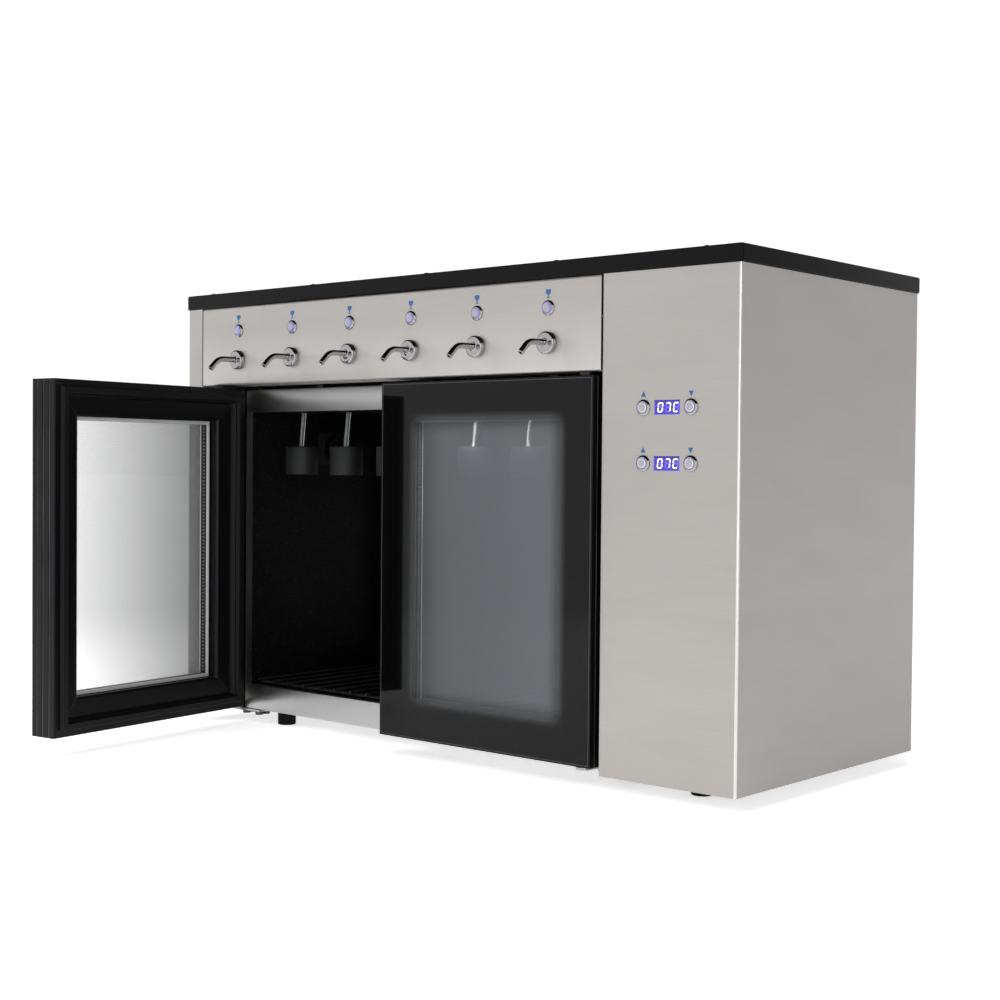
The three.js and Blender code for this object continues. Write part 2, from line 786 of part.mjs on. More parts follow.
// Bottle stopper: a cup that closes over the bottle's mouth, hung on its two tubes from a
// grommet in the ceiling. The gas tube goes straight up and the wine tube on to the tap.
function stopper(i) {
  const x = stopperX(i);
  const y = stopperSetback;
  const top = stopperBottom + stopperHeight;
  const cup = [
    [stopperCup, stopperBottom],
    [stopperRadius, stopperBottom],
    [stopperRadius, top - 1.5],
    [stopperRadius - 1.5, top],
    [0, top],
    [0, stopperBottom + stopperCupDepth],
    [stopperCup, stopperBottom + stopperCupDepth],
    [stopperCup, stopperBottom],
  ];
  const grommet = [
    [0, linerCeiling - seat - 2],
    [grommetRadius - 1, linerCeiling - seat - 2],
    [grommetRadius - 1, linerCeiling - seat],
    [grommetNeck, linerCeiling - seat],
    [grommetNeck, linerCeiling + linerWall + 3],
    [0, linerCeiling + linerWall + 3],
  ];
  const root = top - 2;
  const gasLine = rod(gasTube, root, railBottom - 8 - seat, "up", [x + tubeSpread, y, 0], 4);
  const wineX = x - tubeSpread;
  const wineLine = swept(
    curveThrough([
      [wineX, y, root],
      [wineX, y, (root + foamTop) / 2],
      [wineX, y, foamTop - 8],
      [wineX, y - 6, foamTop + 8],
      [(wineX + tapX(i)) / 2, (y + tapStemLength) / 2, tapZ - 10],
      [tapX(i), tapStemLength + 14, tapZ],
      [tapX(i), tapStemLength + seat, tapZ],
    ]),
    wineTube,
    4,
    8,
  );
  return joined(turned(cup, "up", [x, y, 0], 10), turned(grommet, "up", [x, y, 0], 8), gasLine, wineLine);
}

// ---- Circulation fans ---------------------------------------------------------------------

// A twisted blade that stands out from a hub whose axis is z.
function fanBlade({ hubRadius, tipRadius, chord, bladeThickness, spanSteps, chordSteps }) {
  const span = tipRadius - hubRadius + 1;
  const geometry = new THREE.BoxGeometry(span, chord, bladeThickness, spanSteps, chordSteps, 1);
  geometry.translate(hubRadius - 1 + span / 2, 0, 0);
  const position = geometry.attributes.position;
  const axis = new THREE.Vector3(1, 0, 0);
  for (let i = 0; i < position.count; i++) {
    const point = new THREE.Vector3().fromBufferAttribute(position, i);
    const share = (point.x - hubRadius) / (tipRadius - hubRadius);
    point.applyAxisAngle(axis, THREE.MathUtils.degToRad(50 - 22 * share));
    position.setXYZ(i, point.x, point.y, point.z);
  }
  return geometry;
}

// A fan wheel with its shaft, its axis along x or y. The shaft points to the motor.
function fanWheel(at, way, fan) {
  const { hubRadius, hubDepth, blades, shaftRadius, shaftLength } = fan;
  const hub = [
    [0, -hubDepth / 2 - shaftLength],
    [shaftRadius, -hubDepth / 2 - shaftLength],
    [shaftRadius, -hubDepth / 2],
    [hubRadius, -hubDepth / 2],
    [hubRadius, hubDepth / 2 - 1.5],
    [hubRadius - 2, hubDepth / 2],
    [0, hubDepth / 2],
  ];
  const parts = [turned(hub, way, at, 8)];
  for (let i = 0; i < blades; i++) {
    const blade = fanBlade(fan);
    blade.rotateZ((2 * Math.PI * i) / blades);
    blade.applyMatrix4(outlineWays[way === "across" ? "across" : "back"]);
    blade.translate(...at);
    parts.push(solidOf(blade));
  }
  return joined(...parts);
}

const circulationFan = {
  hubRadius: 9,
  tipRadius: 21,
  hubDepth: 5,
  chord: 9,
  bladeThickness: 1.2,
  spanSteps: 2,
  chordSteps: 1,
  blades: 5,
  shaftRadius: 1.5,
  shaftLength: 3,
};

function circulationFanAt(side) {
  const [wall] = linerSpan(side);
  return [wall + seat + 8.5, circulationFanSetback, circulationFanCentre];
}

// Square frame on the side wall: struts hold the motor, and four arms and a ring guard the wheel.
function circulationFanFrame(side) {
  const [wheelX, y, z] = circulationFanAt(side);
  const wall = linerSpan(side)[0] + seat;
  const front = wall + circulationFanDepth;
  const outline = roundedRectangle(circulationFanSize, circulationFanSize, 4);
  outline.holes.push(circle(circulationFan.tipRadius + 1.9, 12));
  const frame = extruded(outline, "across", wall, front, 1).translate([0, y, z]);
  const arm = circulationFanSize - 4;
  const struts = [
    block([wall, wall + 1.6], around(y, arm), around(z, 5)),
    block([front - 1.2, front], around(y, 1.8), around(z, arm)),
    block([front - 1.2, front], around(y, arm), around(z, 1.8)),
  ];
  const motorEnd = wheelX - circulationFan.hubDepth / 2 - seat;
  const motor = rod(circulationFan.hubRadius - 1.2, wall, motorEnd, "across", [0, y, z], 8);
  const shaftEnd = motorEnd - circulationFan.shaftLength - seat;
  const bore = rod(circulationFan.shaftRadius + seat, shaftEnd, motorEnd + 1, "across", [0, y, z], 8);
  const ring = guardRing(0.65 * circulationFan.tipRadius, front, y, z);
  return cut(joined(frame, ...struts, motor, ring), bore);
}

function guardRing(radius, front, y, z) {
  const section = [
    [radius - 0.8, front - 1.2],
    [radius + 0.8, front - 1.2],
    [radius + 0.8, front],
    [radius - 0.8, front],
    [radius - 0.8, front - 1.2],
  ];
  return turned(section, "across", [0, y, z], 8);
}

// ---- Taps, buttons and controls -----------------------------------------------------------

function spoutPath(x, z, from) {
  const corner = spoutReach - spoutDrop;
  const points = {
    root: new THREE.Vector3(x, -from, z),
    bendStart: new THREE.Vector3(x, -(corner - spoutBend), z),
    bendCorner: new THREE.Vector3(x, -corner, z),
    bendEnd: new THREE.Vector3(x, -corner - spoutBend * Math.SQRT1_2, z - spoutBend * Math.SQRT1_2),
    tip: new THREE.Vector3(x, -spoutReach, z - spoutDrop),
  };
  const path = new THREE.CurvePath();
  path.add(new THREE.LineCurve3(points.root, points.bendStart));
  path.add(new THREE.QuadraticBezierCurve3(points.bendStart, points.bendCorner, points.bendEnd));
  path.add(new THREE.LineCurve3(points.bendEnd, points.tip));
  return path;
}

// Domed rosette with the bent spout in front of the fascia, nut and barbed stem behind it.
function tap(i) {
  const at = [tapX(i), 0, tapZ];
  const rosette = [
    [0, seat],
    [rosetteRadius, seat],
    [rosetteRadius, 0.52 * rosetteHeight],
    [rosetteRadius - 1, 0.78 * rosetteHeight],
    [rosetteRadius - 3, rosetteHeight],
    [0, rosetteHeight],
  ];
  const behind = -sheet - seat;
  const barb = tapStem - 2;
  const stem = [
    [0, -tapStemLength],
    [barb, -tapStemLength],
    [barb, -tapStemLength + 12],
    [tapStem, -tapStemLength + 12],
    [tapStem, 1],
    [0, 1],
  ];
  const parts = [
    turned(rosette, "out", at, 10),
    turned(stem, "out", at, 6),
    rod(tapStem + 4, behind - 5, behind, "out", at, 6),
    swept(spoutPath(at[0], tapZ, rosetteHeight - 2), spoutRadius, 6, 4),
  ];
  return cut(joined(...parts), spoutTipBore(at[0]));
}

// A short bore along the spout's last stretch.
function spoutTipBore(x) {
  const slope = new THREE.Vector3(0, -1, -1).normalize();
  const tip = new THREE.Vector3(x, -spoutReach, tapZ - spoutDrop);
  const ends = [tip.clone().addScaledVector(slope, -8), tip.clone().addScaledVector(slope, 2)];
  return swept(new THREE.LineCurve3(ends[0], ends[1]), spoutBore, 6, 1);
}

// The moving part of a push button: a domed plunger with a collar behind its housing.
function pushButton(x, z) {
  const collarFront = -housingDepth - seat;
  const profile = [
    [0, collarFront - collarThickness],
    [housingRadius - 0.6, collarFront - collarThickness],
    [housingRadius - 0.6, collarFront],
    [buttonRadius, collarFront],
    [buttonRadius, buttonProud - 0.8],
    [buttonRadius - 1.2, buttonProud],
    [0, buttonProud],
  ];
  return turned(profile, "out", [x, 0, z], buttonSides);
}

function display(z) {
  const depth = [0.1, sheet + seat + 0.5];
  const lens = block(around(controlCentre, displayWidth), depth, around(z, displayHeight));
  const housing = block(
    around(controlCentre, displayWidth + 8),
    [sheet + seat, sheet + seat + displayDepth],
    around(z, displayHeight + 8),
  );
  return joined(lens, housing);
}

function controlBoard() {
  const centreZ = (upperControls + lowerControls) / 2;
  const behind = boardSetback + boardThickness;
  const parts = [
    block(around(controlCentre, boardWidth), [boardSetback, behind], around(centreZ, boardHeight)),
  ];
  for (const sideways of sides) {
    for (const upright of sides) {
      const x = controlCentre + sideways * (boardWidth / 2 - boardPostInset);
      const z = centreZ + upright * (boardHeight / 2 - boardPostInset);
      parts.push(rod(boardPost, -boardSetback - 0.5, -sheet - seat, "out", [x, 0, z], 6));
    }
  }
  const displayBack = sheet + 2 * seat + displayDepth;
  for (const z of [upperControls, lowerControls]) {
    const plug = [0.6 * displayWidth, 0.4 * displayHeight];
    parts.push(block(around(controlCentre, plug[0]), [displayBack, boardSetback + 0.5], around(z, plug[1])));
  }
  const switchFront = housingDepth + collarThickness + buttonTravel + 3 * seat;
  for (const [x, z] of controlButtonPlaces()) {
    const width = around(x, buttonRadius);
    parts.push(block(width, [switchFront, boardSetback + 0.5], around(z, buttonRadius)));
  }
  const relayX = controlCentre - boardWidth / 4;
  const relayZ = centreZ - boardHeight / 4;
  const relayBack = behind + relayHeight;
  parts.push(block(around(relayX, relayWidth), [behind - 0.5, relayBack], around(relayZ, relayWidth)));
  const connectorX = controlCentre + boardWidth / 4;
  const connectorBack = behind + 0.6 * relayHeight;
  const connectorZ = centreZ + boardHeight / 4;
  const connector = around(connectorX, 0.6 * relayWidth);
  parts.push(block(connector, [behind - 0.5, connectorBack], around(connectorZ, 0.5 * relayWidth)));
  return joined(...parts);
}

// ---- Doors and hinges ---------------------------------------------------------------------

const pivotX = (side) => coldCentre + side * (coldWidth / 2 - doorSideGap - pivotInset);

// A door's left and right edges when closed, seen from its pivot: it reaches towards the middle.
function doorSpan(side, inset = 0) {
  const hinged = side * (pivotInset - inset);
  const free = side * (pivotInset - doorWidth + inset);
  return [Math.min(hinged, free), Math.max(hinged, free)];
}

const doorRise = (inset = 0) => [doorGround + inset, doorTop - inset];
const doorY = (depth) => depth - pivotDepth; // depth behind the door's front, seen from its pivot

// The section of the door frame: glass rebate, flange, channel for the inner pane, sloped
// rear face, gasket groove and three fine grooves along the outer edge.
function doorFrameSection() {
  const channel = [innerGlassDepth - seat, innerGlassDepth + glassThickness + seat];
  const rebate = glassThickness + seat;
  const grooveFloor = doorThickness - gasketGroove;
  const gasketEnd = gasketInset + gasketWidth;
  const section = [
    [0, 0.4],
    [0.4, 0],
    [glassLip, 0],
    [glassLip, rebate],
    [doorStile, rebate],
    [doorStile, channel[0]],
    [doorStile - innerGlassGrip, channel[0]],
    [doorStile - innerGlassGrip, channel[1]],
    [doorStile, channel[1]],
    [doorStile, doorThickness - 12],
    [doorStile - 3, doorThickness - 9.5],
    [gasketEnd + 5, doorThickness - 7],
    [gasketEnd + 3, doorThickness - 1.5],
    [gasketEnd + 1.5, doorThickness],
    [gasketEnd + seat, doorThickness],
    [gasketEnd + seat, grooveFloor],
    [gasketInset - seat, grooveFloor],
    [gasketInset - seat, doorThickness],
    [1, doorThickness],
    [0, doorThickness - 1],
  ];
  for (const share of [0.74, 0.46, 0.2]) {
    const y = share * doorThickness;
    section.push([0, y + 0.8], [0.7, y + 0.4], [0.7, y - 0.4], [0, y - 0.8]);
  }
  return section.map(([inset, depth]) => [inset, doorY(depth)]);
}

function doorFrame(side) {
  const ring = mitredRing(doorFrameSection(), doorSpan(side), doorRise());
  const bore = pivotRadius + pivotPlay;
  const lower = rod(bore, doorGround - 1, doorGround + pivotReach + 2, "up", [0, 0, 0], 12);
  const upper = rod(bore, doorTop - pivotReach - 2, doorTop + 1, "up", [0, 0, 0], 12);
  return cut(ring, lower, upper);
}

function doorOuterGlass(side) {
  const inset = glassLip + seat;
  return block(doorSpan(side, inset), [doorY(0), doorY(glassThickness)], doorRise(inset));
}

function doorInnerGlass(side) {
  const inset = doorStile - innerGlassGrip + seat;
  const front = doorY(innerGlassDepth);
  return block(doorSpan(side, inset), [front, front + glassThickness], doorRise(inset));
}

// Magnetic gasket: a foot in the frame's groove, a folded bellows and the magnet's strip.
function doorGasket(side) {
  const grooveFloor = doorThickness - gasketGroove + seat;
  const face = doorRecess - gasketGap;
  const middle = (doorThickness + face) / 2;
  const section = [
    [0, grooveFloor],
    [gasketWidth, grooveFloor],
    [gasketWidth, doorThickness + 0.6],
    [gasketWidth - 2, middle],
    [gasketWidth, face - 1.6],
    [gasketWidth - 0.8, face],
    [1.2, face],
    [0.4, face - 1.6],
    [2, middle],
    [0, doorThickness + 0.6],
  ];
  const placed = section.map(([inset, depth]) => [inset, doorY(depth)]);
  return mitredRing(placed, doorSpan(side, gasketInset), doorRise(gasketInset));
}

// The hinge plate's outline, seen from above: a round nose at the pivot and a foot under or
// over the front frame's flange.
function hingeOutline(side) {
  const footFront = doorRecess + 1 - pivotDepth;
  const footBack = doorRecess + frameFlange - 2 - pivotDepth;
  const shape = new THREE.Shape();
  const steps = 6;
  for (let i = 0; i <= steps; i++) {
    const angle = Math.PI + (Math.PI * i) / steps;
    const x = hingeNose * Math.cos(angle);
    const y = hingeNose * Math.sin(angle);
    if (i === 0) shape.moveTo(-side * x, y);
    else shape.lineTo(-side * x, y);
  }
  shape.lineTo(-side * hingeNose, footFront);
  shape.lineTo(-side * (hingeFoot - hingeNose), footFront);
  shape.lineTo(-side * (hingeFoot - hingeNose), footBack);
  shape.lineTo(side * hingeNose, footBack);
  return shape;
}

function hingeScrews(side, from, to) {
  const y = doorRecess + frameFlange / 2 - pivotDepth;
  return [0, 0.75].map((share) => {
    const x = -side * share * (hingeFoot - 2 * hingeNose);
    return rod(4, from, to, "up", [x, y, 0], 6);
  });
}

// Four hexagon heads, two by two, under the foot of the lower plate.
function hingeBolts(side, top) {
  const front = doorRecess - pivotDepth + boltRadius + 0.6;
  return [0, 1, 2, 3].map((i) => {
    const x = -side * (boltInset + (i % 2) * boltSpan);
    const y = front + (i < 2 ? 0 : 2 * boltRadius + 0.6);
    return rod(boltRadius, top - boltHead, top + 1, "up", [x, y, 0], 6);
  });
}

// The plate lies close under the door and steps down in front of the frame to its foot.
function lowerHinge(side) {
  const top = doorGround - hingeClearance;
  const middle = top - hingeSheet / 2;
  const footMiddle = -seat - hingeSheet / 2;
  const stepEnd = doorRecess - pivotDepth - hingeSheet;
  const corners = [
    [-hingeNose - 1, middle],
    [stepEnd - (middle - footMiddle), middle],
    [stepEnd, footMiddle],
    [doorRecess + frameFlange, footMiddle],
  ];
  const stepped = extruded(
    foldedOutline(corners, hingeSheet, 0.75 * hingeSheet, 1), "across", -hingeFoot, hingeFoot,
  );
  const plate = stepped.intersect(extruded(hingeOutline(side), "up", -2 * hingeSheet, top + 1));
  const pin = [
    [0, top - 1],
    [pivotRadius, top - 1],
    [pivotRadius, doorGround + pivotReach],
    [0, doorGround + pivotReach],
  ];
  const footBottom = -seat - hingeSheet;
  return joined(plate, turned(pin, "up", [0, 0, 0], 10), ...hingeBolts(side, footBottom));
}

function upperHinge(side) {
  const bottom = hingeTop - hingeSheet;
  const plate = extruded(hingeOutline(side), "up", bottom, hingeTop);
  const pin = [
    [0, bottom + 1],
    [pivotRadius + 3, bottom + 1],
    [pivotRadius + 3, doorTop + seat],
    [pivotRadius, doorTop + seat],
    [pivotRadius, doorTop - pivotReach],
    [0, doorTop - pivotReach],
  ];
  return joined(plate, turned(pin, "up", [0, 0, 0], 10), ...hingeScrews(side, hingeTop - 1, hingeTop + 2.2));
}

// ---- Machine compartment and gas ----------------------------------------------------------

// Hermetic compressor: a welded pot on a bracket with four mounts, terminal box and two pipes.
function compressor() {
  const floor = basePlateTop + seat;
  const at = [machineCentre, compressorSetback, floor];
  const seam = 0.48 * compressorHeight;
  const pot = [
    [0, bracketRise + 1],
    [0.7 * compressorRadius, bracketRise + 1],
    [compressorRadius, 0.27 * compressorHeight],
    [compressorRadius, seam],
    [compressorRadius + compressorSeam, seam],
    [compressorRadius + compressorSeam, seam + compressorSeam],
    [compressorRadius, seam + compressorSeam],
    [compressorRadius, 0.77 * compressorHeight],
    [0.84 * compressorRadius, 0.92 * compressorHeight],
    [0.45 * compressorRadius, compressorHeight],
    [0, compressorHeight],
  ];
  const bracket = block(
    around(machineCentre, bracketWidth),
    around(compressorSetback, bracketDepth),
    [floor + bracketRise, floor + bracketRise + 3],
  );
  const terminals = block(
    around(machineCentre, terminalWidth),
    [compressorSetback - compressorRadius - terminalReach, compressorSetback - 0.8 * compressorRadius],
    [floor + 0.4 * compressorHeight, floor + 0.7 * compressorHeight],
  );
  const suctionY = compressorSetback + 0.8 * compressorRadius;
  const suctionAt = [machineCentre - 0.5 * compressorRadius, suctionY, floor];
  const pipes = [
    swept(dischargePath(), pipeRadius, 5, 5),
    rod(pipeRadius, 0.5 * compressorHeight, 1.28 * compressorHeight, "up", suctionAt, 5),
  ];
  return joined(turned(pot, "up", at, 12), bracket, ...compressorMounts(floor), terminals, ...pipes);
}

function compressorMounts(floor) {
  const mounts = [];
  for (const sideways of sides) {
    for (const lengthways of sides) {
      const x = machineCentre + sideways * (bracketWidth / 2 - bracketMount - 3);
      const y = compressorSetback + lengthways * (bracketDepth / 2 - bracketMount - 2);
      mounts.push(rod(bracketMount, 0, bracketRise + 1, "up", [x, y, floor], 6));
    }
  }
  return mounts;
}

// From the compressor's shoulder to the condenser's upper tube.
function dischargePath() {
  const x = machineCentre + 0.4 * compressorRadius;
  const z = basePlateTop + seat + 0.85 * condenserHeight;
  const back = compressorSetback + compressorRadius;
  return curveThrough([
    [x, back - 0.5 * compressorRadius, z - 2 * pipeRadius],
    [x, back, z],
    [x, (back + condenserSetback) / 2, z],
    [x, condenserSetback - seat, z],
  ]);
}

const condenserFan = {
  hubRadius: condenserFanRadius / 3,
  tipRadius: condenserFanRadius,
  hubDepth: condenserFanRadius / 4,
  chord: condenserFanRadius / 2,
  bladeThickness: 1.8,
  spanSteps: 3,
  chordSteps: 1,
  blades: 5,
  shaftRadius: 3,
  shaftLength: 8,
};

const condenserFloor = basePlateTop + seat;
const fanCentreZ = condenserFloor + condenserHeight / 2;
const shroudFront = condenserSetback + condenserDepth;
const shroudRadius = condenserFanRadius + condenserFanGap;
const shroudDepth = condenserFanSetback + condenserFan.chord / 2;
const fanPlace = [machineCentre, shroudFront + condenserFanSetback, fanCentreZ];

// Fin-and-tube block between two end plates that carry the fan's shroud and motor at its back.
function condenser() {
  const span = around(machineCentre, condenserWidth);
  const rise = [condenserFloor, condenserFloor + condenserHeight];
  const parts = [span[0], span[1] - condenserSheet].map((x) =>
    block([x, x + condenserSheet], [condenserSetback, shroudFront + condenserSheet / 2], rise),
  );
  const pitch = condenserWidth / (condenserFins + 1);
  for (let i = 1; i <= condenserFins; i++) {
    const x = span[0] + i * pitch;
    parts.push(block(around(x, 1), [condenserSetback, shroudFront - condenserSheet], rise));
  }
  const middle = condenserSetback + 0.5 * condenserDepth;
  for (const share of [0.2, 0.8]) {
    const z = condenserFloor + share * condenserHeight;
    parts.push(rod(4, span[0] - 4, span[1] + 4, "across", [0, middle, z], 4));
  }
  return cut(joined(...parts, fanShroud(span, rise)), motorBore());
}

function fanShroud(span, rise) {
  const at = [machineCentre, 0, fanCentreZ];
  const back = shroudFront + condenserSheet;
  const plate = block(span, [shroudFront, back], rise);
  const mouth = rod(shroudRadius + 1, -back - 1, -shroudFront + 1, "out", at, 16);
  const collar = [
    [shroudRadius, -shroudFront - condenserSheet / 2],
    [shroudRadius + condenserSheet, -shroudFront - condenserSheet / 2],
    [shroudRadius + condenserSheet, -shroudFront - shroudDepth],
    [shroudRadius, -shroudFront - shroudDepth],
    [shroudRadius, -shroudFront - condenserSheet / 2],
  ];
  const ring = turned(collar, "out", at, 16);
  const arm = [2 * condenserSheet, 4 * condenserSheet];
  const arms = block(span, [shroudFront, shroudFront + arm[0]], around(fanCentreZ, arm[1]));
  const motorBack = fanPlace[1] - condenserFan.hubDepth / 2 - seat;
  const motor = rod(0.9 * condenserFan.hubRadius, -motorBack, -shroudFront, "out", at, 10);
  return joined(plate.subtract(mouth), ring, arms, motor);
}

function motorBore() {
  const motorBack = fanPlace[1] - condenserFan.hubDepth / 2 - seat;
  const radius = condenserFan.shaftRadius + seat;
  const end = motorBack - condenserFan.shaftLength - seat;
  return rod(radius, -motorBack - 1, -end, "out", [machineCentre, 0, fanCentreZ], 8);
}

// Gas rail on three legs over the insulation, with a solenoid valve and a barb for each bottle.
function gasManifold() {
  const y = stopperSetback;
  const first = stopperX(0) + tubeSpread;
  const last = stopperX(5) + tubeSpread;
  const span = [first - railOverhang, last + railOverhang];
  const rail = block(span, around(y, railHeight), [railBottom, railBottom + railHeight]);
  const parts = [rail];
  for (let i = 0; i < 6; i++) {
    const x = stopperX(i) + tubeSpread;
    parts.push(rod(3.4, railBottom - 8, railBottom + 1, "up", [x, y, 0], 5));
    const middle = railBottom + railHeight / 2;
    parts.push(rod(valveRadius, -y - railHeight / 2 - valveLength, -y, "out", [x, 0, middle], 5));
  }
  const legPlaces = [stopperX(0) + stopperPitch / 2, coldCentre, stopperX(4) + stopperPitch / 2];
  for (const x of legPlaces) {
    parts.push(block(around(x, 12), around(y, railHeight), [foamTop + seat, railBottom + 1]));
  }
  return joined(...parts);
}

// Gas inlet in the back panel, the pressure regulator behind it and its line to the rail.
function gasRegulator() {
  const panelBack = backPanelFront + sheet;
  const at = [gasInletX, 0, gasInletZ];
  const back = backPanelFront - seat;
  const front = back - regulatorDepth;
  const inlet = rod(gasInletRadius, -panelBack - 2 * sheet, -back + 2, "out", at, 12);
  const housing = rod(regulatorRadius, -back, -front, "out", at, 12);
  const knobAt = [gasInletX, (front + back) / 2, gasInletZ];
  const knob = rod(regulatorKnob, 0, regulatorKnobRise, "up", knobAt, 8);
  const bend = 0.5 * gasInletReach;
  const line = swept(
    curveThrough([
      [gasInletX, front + 2, gasInletZ],
      [gasInletX, (front + stopperSetback) / 2, gasInletZ],
      [gasInletX, stopperSetback + bend, gasInletZ],
      [gasInletX - 0.3 * bend, stopperSetback + 0.3 * bend, gasInletZ],
      [gasInletX - bend, stopperSetback, gasInletZ],
      [railEnd + seat, stopperSetback, gasInletZ],
    ]),
    wineTube,
    4,
    12,
  );
  return joined(inlet, housing, knob, line);
}

// ---- Assembly -----------------------------------------------------------------------------

const cooler = new THREE.Group();

function piece(name, solid, material, group = cooler) {
  const { vertProperties, triVerts } = solid.getMesh();
  const geometry = new THREE.BufferGeometry();
  geometry.setAttribute("position", new THREE.BufferAttribute(vertProperties, 3));
  geometry.setIndex(new THREE.BufferAttribute(triVerts, 1));
  geometry.computeVertexNormals();
  const mesh = new THREE.Mesh(geometry, material);
  mesh.name = name;
  group.add(mesh);
}

function addBody() {
  piece("top_cover", topCover(), blackPaint);
  piece("left_side_panel", leftSidePanel(), brushedSteel);
  piece("right_side_panel", rightSidePanel(), brushedSteel);
  piece("back_panel", backPanel(), galvanised);
  piece("base_plate", basePlate(), blackPaint);
  piece("tap_fascia", tapFascia(), brushedSteel);
  piece("front_frame", frontFrame(), brushedSteel);
  piece("insulation", insulation(), foam);
}

function addCompartment(side, word) {
  piece(`liner_${word}`, liner(side), linerPlastic);
  piece(`bottle_rack_${word}`, bottleRack(side), darkWire);
  piece(`evaporator_${word}`, evaporator(side), aluminium);
  piece(`circulation_fan_frame_${word}`, circulationFanFrame(side), blackPlastic);
  piece(`circulation_fan_${word}`, fanWheel(circulationFanAt(side), "across", circulationFan), blackPlastic);
}

function addTapsAndStoppers() {
  for (let i = 0; i < 6; i++) {
    piece(`tap_${i + 1}`, tap(i), chrome);
    piece(`dispense_button_${i + 1}`, pushButton(tapX(i), buttonZ), chrome);
    piece(`stopper_${i + 1}`, stopper(i), blackPlastic);
  }
}

function addControls() {
  const rows = { upper: upperControls, lower: lowerControls };
  for (const [row, z] of Object.entries(rows)) {
    piece(`display_${row}`, display(z), displayBlue);
    piece(`up_button_${row}`, pushButton(controlCentre - controlSpread, z), chrome);
    piece(`down_button_${row}`, pushButton(controlCentre + controlSpread, z), chrome);
  }
  piece("control_board", controlBoard(), boardGreen);
}

function addDoor(side, word, angle) {
  const door = new THREE.Group();
  door.position.set(pivotX(side), pivotDepth, 0);
  door.rotation.z = THREE.MathUtils.degToRad(angle);
  piece(`door_frame_${word}`, doorFrame(side), blackPlastic, door);
  piece(`door_glass_${word}`, doorOuterGlass(side), tintedGlass, door);
  piece(`door_inner_glass_${word}`, doorInnerGlass(side), clearGlass, door);
  piece(`door_gasket_${word}`, doorGasket(side), softRubber, door);
  const hinges = new THREE.Group();
  hinges.position.copy(door.position);
  piece(`lower_hinge_${word}`, lowerHinge(side), chrome, hinges);
  piece(`upper_hinge_${word}`, upperHinge(side), chrome, hinges);
  cooler.add(door, hinges);
}

function addMachine() {
  piece("compressor", compressor(), blackPaint);
  piece("condenser", condenser(), blackPaint);
  piece("condenser_fan", fanWheel(fanPlace, "out", condenserFan), blackPlastic);
  piece("gas_manifold", gasManifold(), aluminium);
  piece("gas_regulator", gasRegulator(), chrome);
}

addBody();
addCompartment(-1, "left");
addCompartment(1, "right");
addTapsAndStoppers();
addControls();
addDoor(-1, "left", -doorOpenAngle);
addDoor(1, "right", 0);
addMachine();

// The open door's free front corner is the foremost point, and the cover's edge the rearmost.
const openAngle = THREE.MathUtils.degToRad(doorOpenAngle);
const doorReach = (doorWidth - pivotInset) * Math.sin(openAngle) + pivotDepth * Math.cos(openAngle);
const foremost = pivotDepth - doorReach;
const rearmost = bodyDepth + coverOverhang;
cooler.position.set(-bodyWidth / 2, -(foremost + rearmost) / 2, footHeight);

const root = new THREE.Group();
root.add(cooler);
export default root;
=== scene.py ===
# %% [markdown]
# # A counter-top wine cooler with six taps
# The cooler keeps two rows of open bottles cold under a layer of preserving gas and pours
# them through six small chrome taps. Its frame comes as a imported model, with every panel,
# door and hinge in its real place and at its real size. This lesson gives each surface
# the finish of the real one and adds the small round pieces that a faceted model leaves
# coarse: taps, push buttons, bottle stoppers, wire racks, lit digits and printed signs.
# First the model is opened.

# %% Open the imported model
import math

import bmesh
import bpy
from mathutils import Matrix, Vector


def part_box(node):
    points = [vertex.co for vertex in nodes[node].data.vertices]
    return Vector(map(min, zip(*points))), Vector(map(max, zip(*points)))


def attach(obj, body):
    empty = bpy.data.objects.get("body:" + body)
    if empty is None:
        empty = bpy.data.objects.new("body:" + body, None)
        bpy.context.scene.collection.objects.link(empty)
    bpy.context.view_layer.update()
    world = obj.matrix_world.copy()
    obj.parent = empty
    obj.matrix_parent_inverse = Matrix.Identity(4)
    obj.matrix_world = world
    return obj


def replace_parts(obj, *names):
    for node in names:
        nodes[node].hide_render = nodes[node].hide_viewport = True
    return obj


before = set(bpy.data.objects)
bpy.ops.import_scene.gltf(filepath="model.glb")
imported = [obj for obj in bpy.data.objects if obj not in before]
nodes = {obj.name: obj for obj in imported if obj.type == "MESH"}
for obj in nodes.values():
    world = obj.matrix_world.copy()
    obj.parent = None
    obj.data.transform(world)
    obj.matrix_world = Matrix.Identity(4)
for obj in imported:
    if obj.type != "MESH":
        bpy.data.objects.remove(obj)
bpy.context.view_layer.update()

# %% [markdown]
# ## Small helpers
# A colour is written as the hex code that a screen shows, so one function turns it to the
# linear light that the renderer works in. A pattern is described by its real size, so one
# function turns millimetres to a noise scale. And since a material is a little graph, one
# function adds a node with its settings and links, whatever its kind. Its inputs are given
# in the node's own order, or by name or number where most of them are left alone. The
# shader at the graph's end is there already, so its inputs are filled by themselves.

# %% Helpers for colours, pattern sizes and nodes
MM = 0.001


def linear(code, alpha=1.0):
    """The linear RGBA of an sRGB hex code such as "#B8B3AE"."""
    parts = [int(code[i : i + 2], 16) / 255 for i in (1, 3, 5)]
    light = [c / 12.92 if c <= 0.04045 else ((c + 0.055) / 1.055) ** 2.4 for c in parts]
    return (*light, alpha)


def per(millimetres):
    """The scale of a pattern whose features repeat every so many millimetres."""
    return 1 / (millimetres * MM)


